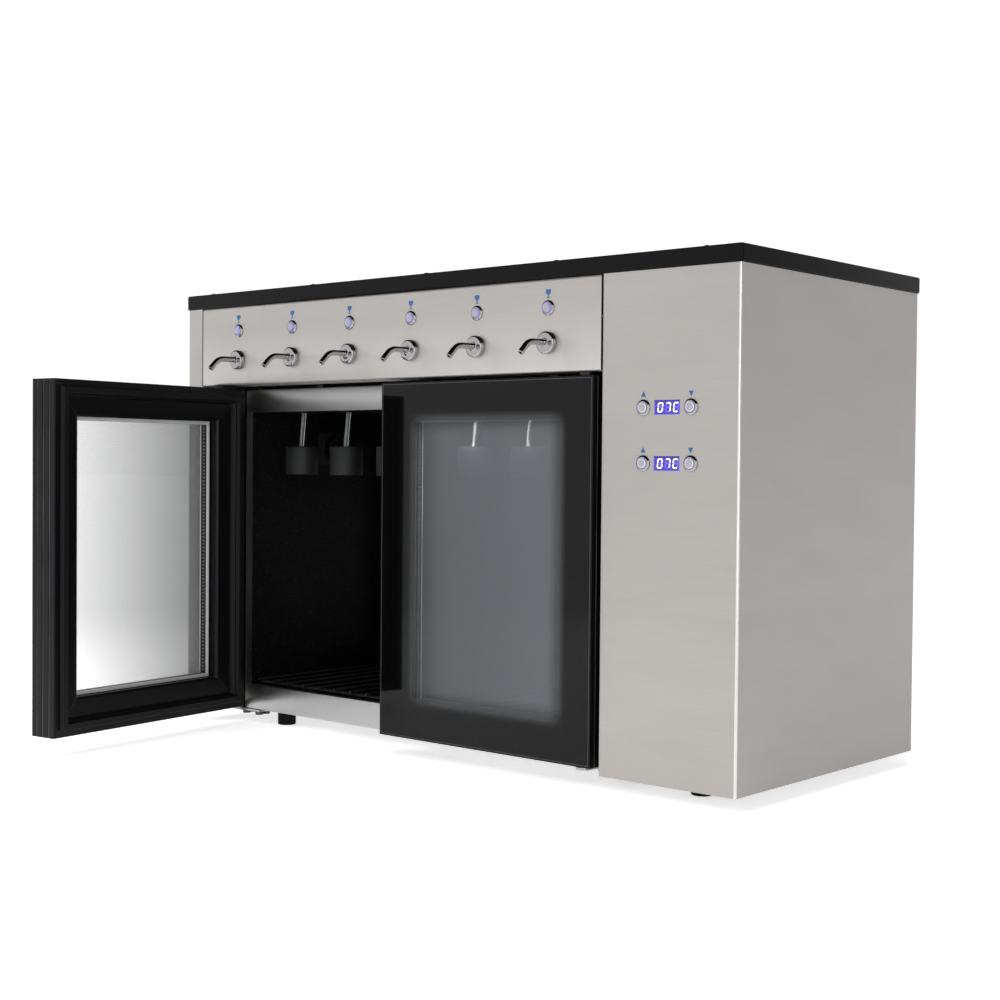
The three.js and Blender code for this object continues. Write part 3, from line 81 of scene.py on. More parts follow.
def fill(tree, node, inputs):
    """Gives a node's inputs their values or their links."""
    for key, value in inputs.items() if isinstance(inputs, dict) else enumerate(inputs):
        if isinstance(value, bpy.types.NodeSocket):
            tree.links.new(value, node.inputs[key])
        else:
            node.inputs[key].default_value = value


def add(tree, kind, inputs=(), **settings):
    """Adds a node, sets its properties and fills its inputs."""
    node = tree.nodes.new(kind)
    for key, value in settings.items():
        setattr(node, key, value)
    fill(tree, node, inputs)
    return node


def material(name, colour, **sockets):
    """A new material: its node tree and its Principled shader, with constant sockets set."""
    made = bpy.data.materials.new(name)
    made.use_nodes = True
    shader = made.node_tree.nodes["Principled BSDF"]
    shader.inputs["Base Color"].default_value = linear(colour)
    for key, value in sockets.items():
        shader.inputs[key.replace("_", " ")].default_value = value
    return made, made.node_tree, shader


def inside(tree, *bands):
    """1 where each value lies in its band, given as (value, low, high), and 0 elsewhere."""
    share = 1.0
    for value, low, high in bands:
        middle, half = (low + high) / 2, (high - low) / 2
        within = add(tree, "ShaderNodeMath", (value, middle, half), operation="COMPARE").outputs[0]
        share = add(tree, "ShaderNodeMath", (share, within), operation="MULTIPLY").outputs[0]
    return share


print("a grey of #B8B3AE is", [round(v, 3) for v in linear("#B8B3AE")])

# %% [markdown]
# ## Camera
# A cooler like this is shown from its front right, at the height of its controls, with a
# fairly long lens, so that the control panel's folded corner leads and both the taps and
# the open door are seen. The camera is placed by its own numbers: where it stands, how
# far it is turned, tipped and rolled, and its focal length on a 36 mm sensor.

# %% Camera at the front right
turn, tip, roll = (math.radians(a) for a in (41.0996, -1.3196, 0.4936))
forward = Vector(
    (-math.sin(turn) * math.cos(tip), math.cos(turn) * math.cos(tip), math.sin(tip))
)
level = Vector((math.cos(turn), math.sin(turn), 0))
upright = level.cross(forward)
right = level * math.cos(roll) + upright * math.sin(roll)
up = upright * math.cos(roll) - level * math.sin(roll)
camera = bpy.data.objects.new("camera", bpy.data.cameras.new("camera"))
camera.data.lens, camera.data.sensor_width = 57.66, 36
camera.data.clip_end = 60
bpy.context.scene.collection.objects.link(camera)
place = Matrix((right, up, -forward)).transposed().to_4x4()
place.translation = (1.4162, -1.51827, 0.3802)
camera.matrix_world = place
bpy.context.scene.camera = camera
print("camera looks along", [round(v, 3) for v in forward])

# %% [markdown]
# ## Studio
# Catalogue pictures of steel appliances are taken in a white room: brushed steel shows
# whatever is around it, and a plain white surround gives it its even, pale grey. Chrome
# needs some dark to mirror too, or it would vanish, so the walls end under a dark ceiling
# and there is a dark gap on the right. Each is a share of the light, worked out from the
# direction, and only light and reflections meet them: the camera itself sees plain white.
# The big lamps overhead and on the left aren't mirrored, so the ceiling stays dark.

# %% White walls, dark ceiling
WALL_BRIGHTNESS, BACK_SHADE = 1.04, 0.78
WHITE = (1, 1, 1, 1)
scene = bpy.context.scene
scene.view_settings.view_transform = "Standard"
scene.view_settings.look = "None"
world = bpy.data.worlds.new("white_room")
world.use_nodes = True
scene.world = world
room = world.node_tree
room.nodes.clear()
direction = add(room, "ShaderNodeTexCoord").outputs["Generated"]


def facing(way):
    """How squarely a direction of the room points one way: 1 when it points right there."""
    way = Vector(way).normalized()
    return add(room, "ShaderNodeVectorMath", (direction, way), operation="DOT_PRODUCT").outputs["Value"]


brightness = WALL_BRIGHTNESS
for turned, start, end, from_share, to_share in (
    (facing((0, 0, 1)), 0.36, 0.48, 1, 0.04),  # the dark ceiling
    (facing((0.95, -0.05, 0.3)), 0.84, 0.92, 1, 0.05),  # the dark gap on the right
    (facing((0.66, 0.75, 0)), 0.5, 0.95, 1, BACK_SHADE),  # the wall behind on the right
):
    fade = (turned, start, end, from_share, to_share)
    share = add(room, "ShaderNodeMapRange", fade, interpolation_type="SMOOTHSTEP").outputs[0]
    brightness = add(room, "ShaderNodeMath", (brightness, share), operation="MULTIPLY").outputs[0]
# share is the back wall's by now: where it is shaded, the white is a little cooler
whites = {"Factor": share, 6: (0.96, 0.94, 1.0, 1), 7: WHITE}
coolness = add(room, "ShaderNodeMix", whites, data_type="RGBA").outputs[2]
seen = add(room, "ShaderNodeLightPath").outputs["Is Camera Ray"]
whites = {"Factor": seen, 6: coolness, 7: WHITE}
plain = add(room, "ShaderNodeMix", whites, data_type="RGBA").outputs[2]
even = add(room, "ShaderNodeMix", {"Factor": seen, 2: brightness, 3: WALL_BRIGHTNESS}).outputs[0]
glow = add(room, "ShaderNodeBackground", (plain, even))
add(room, "ShaderNodeOutputWorld", (glow.outputs[0],))


def softbox(name, at, aim, width, height, power):
    """A soft lamp of that size, in metres, standing at one point and facing another."""
    lamp = bpy.data.lights.new(name, "AREA")
    lamp.shape, lamp.size, lamp.size_y, lamp.energy = "RECTANGLE", width, height, power
    lamp_object = bpy.data.objects.new(name, lamp)
    scene.collection.objects.link(lamp_object)
    lamp_object.location = at
    towards = Vector(aim) - Vector(at)
    lamp_object.rotation_mode = "QUATERNION"
    lamp_object.rotation_quaternion = towards.to_track_quat("-Z", "Y")
    return lamp_object


overhead = softbox("overhead_softbox", (0.3, -0.5, 3.4), (0, 0, 0), 3.2, 3.2, 74)
overhead.visible_glossy = False
softbox("corner_softbox", (2.75, -1.8, 1.0), (0.475, -0.047, 0.3), 0.35, 2.4, 18)
left_light = softbox("left_softbox", (-1.9, -2.3, 1.7), (-0.3, 0, 0.4), 1.4, 1.4, 62)
left_light.visible_glossy = False

# %% [markdown]
# ## Floor
# The floor is matt white studio paper, wide enough to run out of sight. It only has to
# catch a soft shadow under the feet. It is a disc of rings, so it can be very large
# without a corner ever coming into view.

# %% Pale floor
def white_paper():
    made, tree, shader = material(
        "matt_white_paper", "#F7F7F6", Roughness=0.9, Specular_IOR_Level=0.1
    )
    shader.inputs["Emission Color"].default_value = WHITE
    where = add(tree, "ShaderNodeTexCoord").outputs["Object"]
    fibre = add(tree, "ShaderNodeTexNoise", {"Vector": where, "Scale": per(3), "Detail": 3})
    relief = {"Height": fibre.outputs["Fac"], "Strength": 0.05, "Distance": 0.1 * MM}
    distance = add(tree, "ShaderNodeVectorMath", (where,), operation="LENGTH").outputs["Value"]
    fade = (distance, 0.9, 2.4, 0, 1)
    far = add(tree, "ShaderNodeMapRange", fade, interpolation_type="SMOOTHSTEP").outputs[0]
    shades = {"Factor": far, 6: linear("#F7F7F6"), 7: linear("#000000")}
    seen = add(tree, "ShaderNodeLightPath").outputs["Is Camera Ray"]
    near = add(tree, "ShaderNodeMix", {"Factor": seen, 2: 0.4, 3: 0.6}).outputs[0]
    lit = {"Factor": far, 2: near, 3: WALL_BRIGHTNESS}
    fill(tree, shader, {
        "Base Color": add(tree, "ShaderNodeMix", shades, data_type="RGBA").outputs[2],
        "Emission Strength": add(tree, "ShaderNodeMix", lit).outputs[0],
        "Normal": add(tree, "ShaderNodeBump", relief).outputs[0],
    })
    return made


def disc(name, radii, sides, height):
    """A flat disc made of rings of faces."""
    mesh = bmesh.new()
    middle = mesh.verts.new((0, 0, height))
    last = None
    for radius in radii:
        angles = [2 * math.pi * k / sides for k in range(sides)]
        ring = [mesh.verts.new((radius * math.cos(a), radius * math.sin(a), height)) for a in angles]
        for k in range(sides):
            n = (k + 1) % sides
            if last is None:
                mesh.faces.new((middle, ring[k], ring[n]))
            else:
                mesh.faces.new((last[k], ring[k], ring[n], last[n]))
        last = ring
    data = bpy.data.meshes.new(name)
    mesh.to_mesh(data)
    mesh.free()
    made = bpy.data.objects.new(name, data)
    scene.collection.objects.link(made)
    return made


floor = disc("studio_floor", (0.5, 1.5, 4, 12, 40), 64, -0.0004)
floor.data.materials.append(white_paper())
print("floor:", len(floor.data.polygons), "faces")

# %% [markdown]
# ## Brushed stainless steel
# The fascia, the control panel and the sides are 304 stainless sheet, brushed along its
# length with a fine belt. Belt marks are a few hundredths of a millimetre apart, too fine
# to show at this distance, so they are drawn about 0.7 mm apart and 90 mm long: what is
# left is the faint horizontal grain and the slow cloudiness that such sheet really has.
# The grain also stretches a highlight across itself, which is what anisotropy does.
# The fascia's lower half is painted paler: a painted light that evens out the shade the black doors put
# on it.

# %% Brushed stainless steel
def grain(tree, along, across):
    """Noise stretched into horizontal streaks: along and across are sizes in millimetres."""
    where = add(tree, "ShaderNodeTexCoord").outputs["Object"]
    repeats = (per(along), per(along), per(across))
    stretched = add(tree, "ShaderNodeMapping", {"Vector": where, "Scale": repeats}).outputs[0]
    streaks = {"Vector": stretched, "Scale": 1.0, "Detail": 4, "Roughness": 0.6}
    return add(tree, "ShaderNodeTexNoise", streaks).outputs["Fac"]


def painted_light_on_lower_fascia(tree):
    """1 along the fascia's lower edge, fading upwards, where painted light makes it paler; 0 on every
    other panel.
    """
    low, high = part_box("tap_fascia")
    where = add(tree, "ShaderNodeTexCoord").outputs["Object"]
    x, _, z = add(tree, "ShaderNodeSeparateXYZ", (where,)).outputs
    fade = (z, low.z, low.z + 0.8 * (high.z - low.z), 1, 0)
    lower = add(tree, "ShaderNodeMapRange", fade, interpolation_type="SMOOTHSTEP").outputs[0]
    fascia = inside(tree, (x, low.x, high.x), (z, low.z - 1 * MM, high.z))
    return add(tree, "ShaderNodeMath", (lower, fascia), operation="MULTIPLY").outputs[0]


SEAM, SEAM_OVERLAP = 2.3, 0.3  # the width of a fold, and how far its shadow covers the fascia


def seam_shadow(tree):
    """1 in the folds beside the fascia's two seams, where no light gets in."""
    low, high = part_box("tap_fascia")
    where = add(tree, "ShaderNodeTexCoord").outputs["Object"]
    x, _, z = add(tree, "ShaderNodeSeparateXYZ", (where,)).outputs
    upright = (z, low.z, high.z)
    left = inside(tree, (x, low.x - SEAM * MM, low.x + SEAM_OVERLAP * MM), upright)
    right_seam = inside(tree, (x, high.x - SEAM_OVERLAP * MM, high.x + SEAM * MM), upright)
    return add(tree, "ShaderNodeMath", (left, right_seam), operation="MAXIMUM").outputs[0]


def painted_fold_highlight(tree):
    """1 on the control panel's front right fold, where a highlight is painted and the steel is smoother.
    """
    side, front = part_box("right_side_panel")[1].x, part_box("left_side_panel")[0].y
    where = add(tree, "ShaderNodeTexCoord").outputs["Object"]
    x, y, _ = add(tree, "ShaderNodeSeparateXYZ", (where,)).outputs
    return inside(tree, (x, side - 2.6 * MM, side + 1 * MM), (y, front - 1 * MM, front + 2.6 * MM))


def brushed_stainless_steel():
    made, tree, shader = material(
        "brushed_304_stainless_steel", "#B0ACA9", Metallic=0.62, Anisotropic=0.4
    )
    streaks, clouds = grain(tree, 90, 0.7), grain(tree, 160, 45)
    both = add(tree, "ShaderNodeMath", (streaks, clouds), operation="ADD").outputs[0]
    tone = add(tree, "ShaderNodeMapRange", (both, 0.75, 1.25, 0, 1)).outputs[0]
    shades = {"Factor": tone, 6: linear("#A6A29F"), 7: linear("#ACA8A5")}
    tint = add(tree, "ShaderNodeMix", shades, data_type="RGBA").outputs[2]
    fold_highlight = painted_fold_highlight(tree)
    for share, colour in (
        # painted light on the lower fascia, making it paler
        (painted_light_on_lower_fascia(tree), "#BFBBB8"),
        (seam_shadow(tree), "#2E2B29"),
        # a painted highlight on the control panel's front right fold
        (fold_highlight, "#DEDCDC"),
    ):
        shades = {"Factor": share, 6: tint, 7: linear(colour)}
        tint = add(tree, "ShaderNodeMix", shades, data_type="RGBA").outputs[2]
    brushed = add(tree, "ShaderNodeMapRange", (streaks, 0.3, 0.7, 0.34, 0.4)).outputs[0]
    belt_marks = {"Height": streaks, "Strength": 0.04, "Distance": 0.015 * MM}
    fill(tree, shader, {
        "Base Color": tint,
        "Roughness": add(tree, "ShaderNodeMix", {"Factor": fold_highlight, 2: brushed, 3: 0.22}).outputs[0],
        "Normal": add(tree, "ShaderNodeBump", belt_marks).outputs[0],
        "Tangent": add(tree, "ShaderNodeTangent", direction_type="RADIAL", axis="Z").outputs[0],
    })
    return made


steel = brushed_stainless_steel()
print("grain drawn every 0.7 mm, at a noise scale of", round(per(0.7)))

# %% [markdown]
# ## Bright rails
# The frame behind the doors is cold-rolled sheet of a plainer steel with a bright annealed
# finish. Smooth rolls leave no belt marks, only wide, very faint clouds. Its outer stiles,
# beside the openings, are lacquered black like the door frames that close on them.

# %% Bright rolled steel
LINER_REACH = 11.0  # the liners go so far behind the openings' edges, in mm


def bright_rolled_steel():
    made, tree, shader = material(
        "bright_rolled_430_steel", "#C2C2C2", Metallic=1.0, Specular_IOR_Level=0.1
    )
    clouds = grain(tree, 220, 60)
    shades = {"Factor": clouds, 6: linear("#BEBEBF"), 7: linear("#C8C8C7")}
    rolled = add(tree, "ShaderNodeMix", shades, data_type="RGBA").outputs[2]
    left, right_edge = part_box("liner_left")[0].x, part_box("liner_right")[1].x
    where = add(tree, "ShaderNodeTexCoord").outputs["Object"]
    across = add(tree, "ShaderNodeSeparateXYZ", (where,)).outputs["X"]
    rails = inside(tree, (across, left + LINER_REACH * MM, right_edge - LINER_REACH * MM))
    shades = {"Factor": rails, 6: linear("#0D0D0E"), 7: rolled}
    fill(tree, shader, {
        "Base Color": add(tree, "ShaderNodeMix", shades, data_type="RGBA").outputs[2],
        "Metallic": rails,
        "Roughness": add(tree, "ShaderNodeMapRange", (clouds, 0.3, 0.7, 0.27, 0.34)).outputs[0],
    })
    return made


frame_steel = bright_rolled_steel()
print("rails:", frame_steel.name)

# %% [markdown]
# ## Galvanised sheet
# The back panel and the base plate are hot-dip galvanised: the zinc freezes in flakes,
# spangle, each a little lighter or darker than its neighbours. A cell pattern of the
# flakes' size does it. The base plate has its four rubber feet in one piece with it, so
# its material turns to black rubber below the height where the sheet begins.

# %% Galvanised sheet, with and without feet
BASE_UNDERSIDE = 0.0192  # the sheet begins above this height, in metres, the feet end below it


def galvanised_sheet(name, black_under=None):
    """Zinc-coated sheet. Below a height in metres, where the feet are, it is black rubber."""
    made, tree, shader = material(name, "#9A9B9C", Metallic=1.0)
    where = add(tree, "ShaderNodeTexCoord").outputs["Object"]
    flakes = add(tree, "ShaderNodeTexVoronoi", {"Vector": where, "Scale": per(6)})
    flake = add(tree, "ShaderNodeSeparateXYZ", (flakes.outputs["Color"],)).outputs["X"]
    shades = {"Factor": flake, 6: linear("#96989A"), 7: linear("#A8AAAA")}
    tint = add(tree, "ShaderNodeMix", shades, data_type="RGBA").outputs[2]
    rough = add(tree, "ShaderNodeMapRange", (flake, 0, 1, 0.38, 0.55)).outputs[0]
    if black_under:
        height = add(tree, "ShaderNodeSeparateXYZ", (where,)).outputs["Z"]
        step = (height, black_under - 1e-5, black_under, 0, 1)
        zinc_share = add(tree, "ShaderNodeMapRange", step).outputs[0]
        shades = {"Factor": zinc_share, 6: linear("#0B0B0C"), 7: tint}
        tint = add(tree, "ShaderNodeMix", shades, data_type="RGBA").outputs[2]
        rough = add(tree, "ShaderNodeMix", {"Factor": zinc_share, 2: 0.6, 3: rough}).outputs[0]
        fill(tree, shader, {"Metallic": zinc_share})
    fill(tree, shader, {"Base Color": tint, "Roughness": rough})
    return made


base_zinc = galvanised_sheet("galvanised_base_and_rubber_feet", BASE_UNDERSIDE)
zinc = galvanised_sheet("hot_dip_galvanised_sheet")
print("flakes of 6 mm, at a cell scale of", round(per(6)))

# %% [markdown]
# ## Chrome plate
# The taps and the buttons' bezels are brass, polished and chrome-plated: a mirror, so
# almost everything one sees in them is the room. Their faces turned up are painted dark, a
# painted reflection of the dark ceiling, and wiping leaves the mirror very slightly uneven.

# %% Chrome plate
def chrome_plate():
    made, tree, shader = material("chrome_plated_brass", "#B6B4B5", Metallic=1.0, Roughness=0.06)
    where = add(tree, "ShaderNodeTexCoord").outputs["Object"]
    normal = add(tree, "ShaderNodeNewGeometry").outputs["Normal"]
    turned = add(tree, "ShaderNodeSeparateXYZ", (normal,)).outputs["Z"]
    # faces turned up are painted dark: a painted reflection of the dark ceiling
    rise = (turned, 0.15, 0.4, 0, 1)
    painted_dark_top = add(tree, "ShaderNodeMapRange", rise, interpolation_type="SMOOTHSTEP").outputs[0]
    shades = {"Factor": painted_dark_top, 6: linear("#A8A5A6"), 7: linear("#2E2C2D")}
    wipe = add(tree, "ShaderNodeTexNoise", {"Vector": where, "Scale": per(4), "Detail": 2})
    faint = (wipe.outputs["Fac"], 0.35, 0.65, 0.03, 0.08)
    fill(tree, shader, {
        "Base Color": add(tree, "ShaderNodeMix", shades, data_type="RGBA").outputs[2],
        "Roughness": add(tree, "ShaderNodeMapRange", faint).outputs[0],
    })
    return made


chrome = chrome_plate()
print("mirror finish:", chrome.name)

# %% [markdown]
# ## Hinge steel, nickel and aluminium
# Hinge plates are polished steel with a fine lengthwise grain, and the sides of the bolts'
# heads below them are painted darker, a painted shade under the plates. The buttons' plungers
# are nickel-plated and blasted, so they look like dull pewter. The evaporator and the
# condenser are mill-finish aluminium, which rolling leaves dull and faintly streaked.

# %% Hinge steel, nickel plate and aluminium
BOLT_HEAD = 4.5 * MM  # the height of a hinge bolt's head


def hinge_steel():
    made, tree, shader = material("polished_hinge_steel", "#979694", Metallic=1.0)
    streaks = grain(tree, 12, 0.4)
    where = add(tree, "ShaderNodeTexCoord").outputs["Object"]
    height = add(tree, "ShaderNodeSeparateXYZ", (where,)).outputs["Z"]
    normal = add(tree, "ShaderNodeNewGeometry").outputs["Normal"]
    turned = add(tree, "ShaderNodeSeparateXYZ", (normal,)).outputs["Z"]
    plate_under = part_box("lower_hinge_left")[0].z + BOLT_HEAD
    below = (height, plate_under - 0.2 * MM, plate_under, 1, 0)
    head = add(tree, "ShaderNodeMapRange", below).outputs[0]
    side = add(tree, "ShaderNodeMapRange", (turned, -0.6, -0.3, 0, 1)).outputs[0]
    rim = add(tree, "ShaderNodeMath", (head, side), operation="MULTIPLY").outputs[0]
    # painted shade on the sides of the bolts' heads, under the plate
    shades = {"Factor": rim, 6: linear("#A9A8A6"), 7: linear("#55565A")}
    lines = {"Height": streaks, "Strength": 0.05, "Distance": 0.01 * MM}
    fill(tree, shader, {
        "Base Color": add(tree, "ShaderNodeMix", shades, data_type="RGBA").outputs[2],
        "Roughness": add(tree, "ShaderNodeMapRange", (streaks, 0.3, 0.7, 0.16, 0.3)).outputs[0],
        "Normal": add(tree, "ShaderNodeBump", lines).outputs[0],
    })
    return made


def nickel_plate():
    made, tree, shader = material("blasted_nickel_plate", "#B3AEAC", Metallic=0.8)
    where = add(tree, "ShaderNodeTexCoord").outputs["Object"]
    blasted = {"Vector": where, "Scale": per(0.5), "Detail": 2}
    grit = add(tree, "ShaderNodeTexNoise", blasted).outputs["Fac"]
    shades = {"Factor": grit, 6: linear("#ACA7A6"), 7: linear("#BAB5B3")}
    pits = {"Height": grit, "Strength": 0.1, "Distance": 0.02 * MM}
    fill(tree, shader, {
        "Base Color": add(tree, "ShaderNodeMix", shades, data_type="RGBA").outputs[2],
        "Roughness": add(tree, "ShaderNodeMapRange", (grit, 0.3, 0.7, 0.35, 0.5)).outputs[0],
        "Normal": add(tree, "ShaderNodeBump", pits).outputs[0],
    })
    return made


def mill_aluminium():
    made, tree, shader = material("mill_finish_aluminium", "#B4B6B8", Metallic=1.0)
    streaks = grain(tree, 40, 1.2)
    shades = {"Factor": streaks, 6: linear("#9FA1A4"), 7: linear("#C2C4C5")}
    fill(tree, shader, {
        "Base Color": add(tree, "ShaderNodeMix", shades, data_type="RGBA").outputs[2],
        "Roughness": add(tree, "ShaderNodeMapRange", (streaks, 0.3, 0.7, 0.35, 0.5)).outputs[0],
    })
    return made


bright_steel, satin_nickel, aluminium = hinge_steel(), nickel_plate(), mill_aluminium()
print("metals:", [m.name for m in (bright_steel, satin_nickel, aluminium)])

# %% [markdown]
# ## Paint, plastics, rubber and foam
# The top cover is steel sheet under a satin powder coat, which flows into a very fine
# orange peel as it bakes. Nylon, rubber, foam, the gaskets, the racks' coat and the
# circuit board are dressed the same way: a base colour, a little mottle of the right
# size, and the gloss that the stuff really has. So one function makes them all.

# %% Coated, moulded and foamed finishes
def mottled(name, colour, light_colour, size, roughness, depth, height=0.05, gloss=0.5, **sockets):
    """A plain finish with a soft mottle of that size in millimetres, and its relief."""
    made, tree, shader = material(name, colour, Specular_IOR_Level=gloss, **sockets)
    where = add(tree, "ShaderNodeTexCoord").outputs["Object"]
    noise = {"Vector": where, "Scale": per(size), "Detail": 3}
    mottle = add(tree, "ShaderNodeTexNoise", noise).outputs["Fac"]
    pale = add(tree, "ShaderNodeMapRange", (mottle, 0.3, 0.7, 0, 1)).outputs[0]
    shades = {"Factor": pale, 6: linear(colour), 7: linear(light_colour)}
    relief = {"Height": mottle, "Strength": depth, "Distance": height * MM}
    fill(tree, shader, {
        "Base Color": add(tree, "ShaderNodeMix", shades, data_type="RGBA").outputs[2],
        "Roughness": add(tree, "ShaderNodeMapRange", (mottle, 0.3, 0.7, *roughness)).outputs[0],
        "Normal": add(tree, "ShaderNodeBump", relief).outputs[0],
    })
    return made


black_coat = mottled(
    "satin_black_powder_coat", "#100F10", "#151415", 0.9, (0.36, 0.44), 0.12, 0.02, 0.1, IOR=1.4
)
moulded_black = mottled(
    "moulded_black_nylon", "#161617", "#1C1C1D", 0.8, (0.45, 0.55), 0.15, 0.03, IOR=1.5
)
stopper_black = mottled(
    "satin_stopper_elastomer", "#18191A", "#1D1E1F", 1.0, (0.5, 0.6), 0.1, 0.03, IOR=1.4
)
gasket_black = mottled(
    "soft_pvc_gasket", "#0A0A0C", "#0F0F11", 1.2, (0.5, 0.62), 0.1, 0.05, 0.25, IOR=1.45
)
foot_rubber = mottled(
    "moulded_foot_rubber", "#060606", "#0A0A0A", 1.0, (0.6, 0.7), 0.1, 0.05, 0.15, IOR=1.45
)
foam = mottled("polyurethane_foam", "#D8CDA0", "#EDE6C6", 1.6, (0.85, 0.95), 0.6, 0.3)
wire_coat = mottled("polyethylene_coated_wire", "#1A1A1C", "#242426", 1.0, (0.35, 0.45), 0.05)
board_green = mottled("green_solder_mask", "#1B5236", "#24643F", 2.5, (0.3, 0.45), 0.05)
hinge_black = mottled("black_lacquered_hinge_steel", "#101011", "#161617", 1.1, (0.3, 0.4), 0.1, IOR=1.4)
machine_black = mottled("stove_enamelled_steel", "#151516", "#1D1D1E", 1.4, (0.25, 0.36), 0.1)
print("finishes:", len(bpy.data.materials))

# %% [markdown]
# ## Grained liner
# The compartments are lined with vacuum-formed ABS. A leather-like grain is pressed into
# it so that scratches don't show, and each bump of the grain can catch a point of light.
# Only a few do, and they are drawn as pale specks.

# %% Grained black ABS
def grained_liner():
    made, tree, shader = material(
        "grained_black_abs", "#0B0B0C", IOR=1.5, Specular_IOR_Level=0.3
    )
    where = add(tree, "ShaderNodeTexCoord").outputs["Object"]
    cells = add(tree, "ShaderNodeTexVoronoi", {"Vector": where, "Scale": per(2.2)})
    cell = cells.outputs["Distance"]
    luck = add(tree, "ShaderNodeSeparateXYZ", (cells.outputs["Color"],)).outputs["X"]
    lucky = add(tree, "ShaderNodeMapRange", (luck, 0.93, 0.96, 0, 1)).outputs[0]
    middle = add(tree, "ShaderNodeMapRange", (cell, 0.15, 0.3, 1, 0)).outputs[0]
    bright = add(tree, "ShaderNodeMath", (lucky, middle), operation="MULTIPLY").outputs[0]
    shades = {"Factor": cell, 6: linear("#0B0B0C"), 7: linear("#050506")}
    dull = add(tree, "ShaderNodeMix", shades, data_type="RGBA").outputs[2]
    shades = {"Factor": bright, 6: dull, 7: linear("#5A5C60")}
    leather = {"Height": cell, "Strength": 0.7, "Distance": 0.35 * MM}
    fill(tree, shader, {
        "Base Color": add(tree, "ShaderNodeMix", shades, data_type="RGBA").outputs[2],
        "Roughness": add(tree, "ShaderNodeMapRange", (cell, 0, 0.6, 0.25, 0.5)).outputs[0],
        "Normal": add(tree, "ShaderNodeBump", leather).outputs[0],
    })
    return made


liner_black = grained_liner()
print("liner:", liner_black.name, "with grain of 2.2 mm")

# %% [markdown]
# ## A door's own directions
# The left door stands open, so its print and its grooves can't be drawn along the room's
# directions. A door has its own: reach from its hinged edge along its width, depth behind
# its front, and height. One function works them out from a point's place in the model.

# %% Doors and their directions
door_low, door_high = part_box("door_frame_right")
DOOR_WIDTH = (door_high.x - door_low.x) / MM
DOOR_THICKNESS = 42.5
PIN_TO_EDGE, PIN_DEPTH = 16.8, 10.0  # from the pin to the hinged edge and to the door's front
DOORS = {  # the pin's place, the angle at rest, and +1 or -1 for reach along X when closed
    "left": ((-0.4135, -0.03717), 83, 1),
    "right": ((0.2578, -0.03717), 0, -1),
}


def door_directions(tree, side):
    """Distances from the hinged edge and behind the front, and the height, in metres."""
    pin, open_degrees, hand = DOORS[side]
    where = add(tree, "ShaderNodeTexCoord").outputs["Object"]
    from_pin = add(tree, "ShaderNodeVectorMath", (where, (*pin, 0)), operation="SUBTRACT")
    shut = {"Vector": from_pin.outputs[0], "Angle": math.radians(open_degrees)}
    closed = add(tree, "ShaderNodeVectorRotate", shut, rotation_type="Z_AXIS").outputs[0]
    x, y, height = add(tree, "ShaderNodeSeparateXYZ", (closed,)).outputs
    from_edge = (x, hand, PIN_TO_EDGE * MM)
    reach = add(tree, "ShaderNodeMath", from_edge, operation="MULTIPLY_ADD").outputs[0]
    depth = add(tree, "ShaderNodeMath", (y, PIN_DEPTH * MM), operation="ADD").outputs[0]
    return reach, depth, height


def nearest_edge(tree, value, low, high):
    """The distance to the nearer of two limits."""
    above = add(tree, "ShaderNodeMath", (value, low), operation="SUBTRACT").outputs[0]
    below = add(tree, "ShaderNodeMath", (high, value), operation="SUBTRACT").outputs[0]
    return add(tree, "ShaderNodeMath", (above, below), operation="MINIMUM").outputs[0]


print("door:", round(DOOR_WIDTH, 1), "mm wide,", round((door_high.z - door_low.z) / MM, 1), "high")

# %% [markdown]
# ## Door frames
# The frames are black ABS profiles, mitred and welded at the corners. Each weld leaves a
# hair line across the corner, and along the crests of the three fine grooves round the edge
# a thin paler line is a painted highlight. Both are drawn in the door's own directions.

# %% Welded ABS door frames
GROOVES = (0.74, 0.46, 0.2)  # shares of the door's thickness


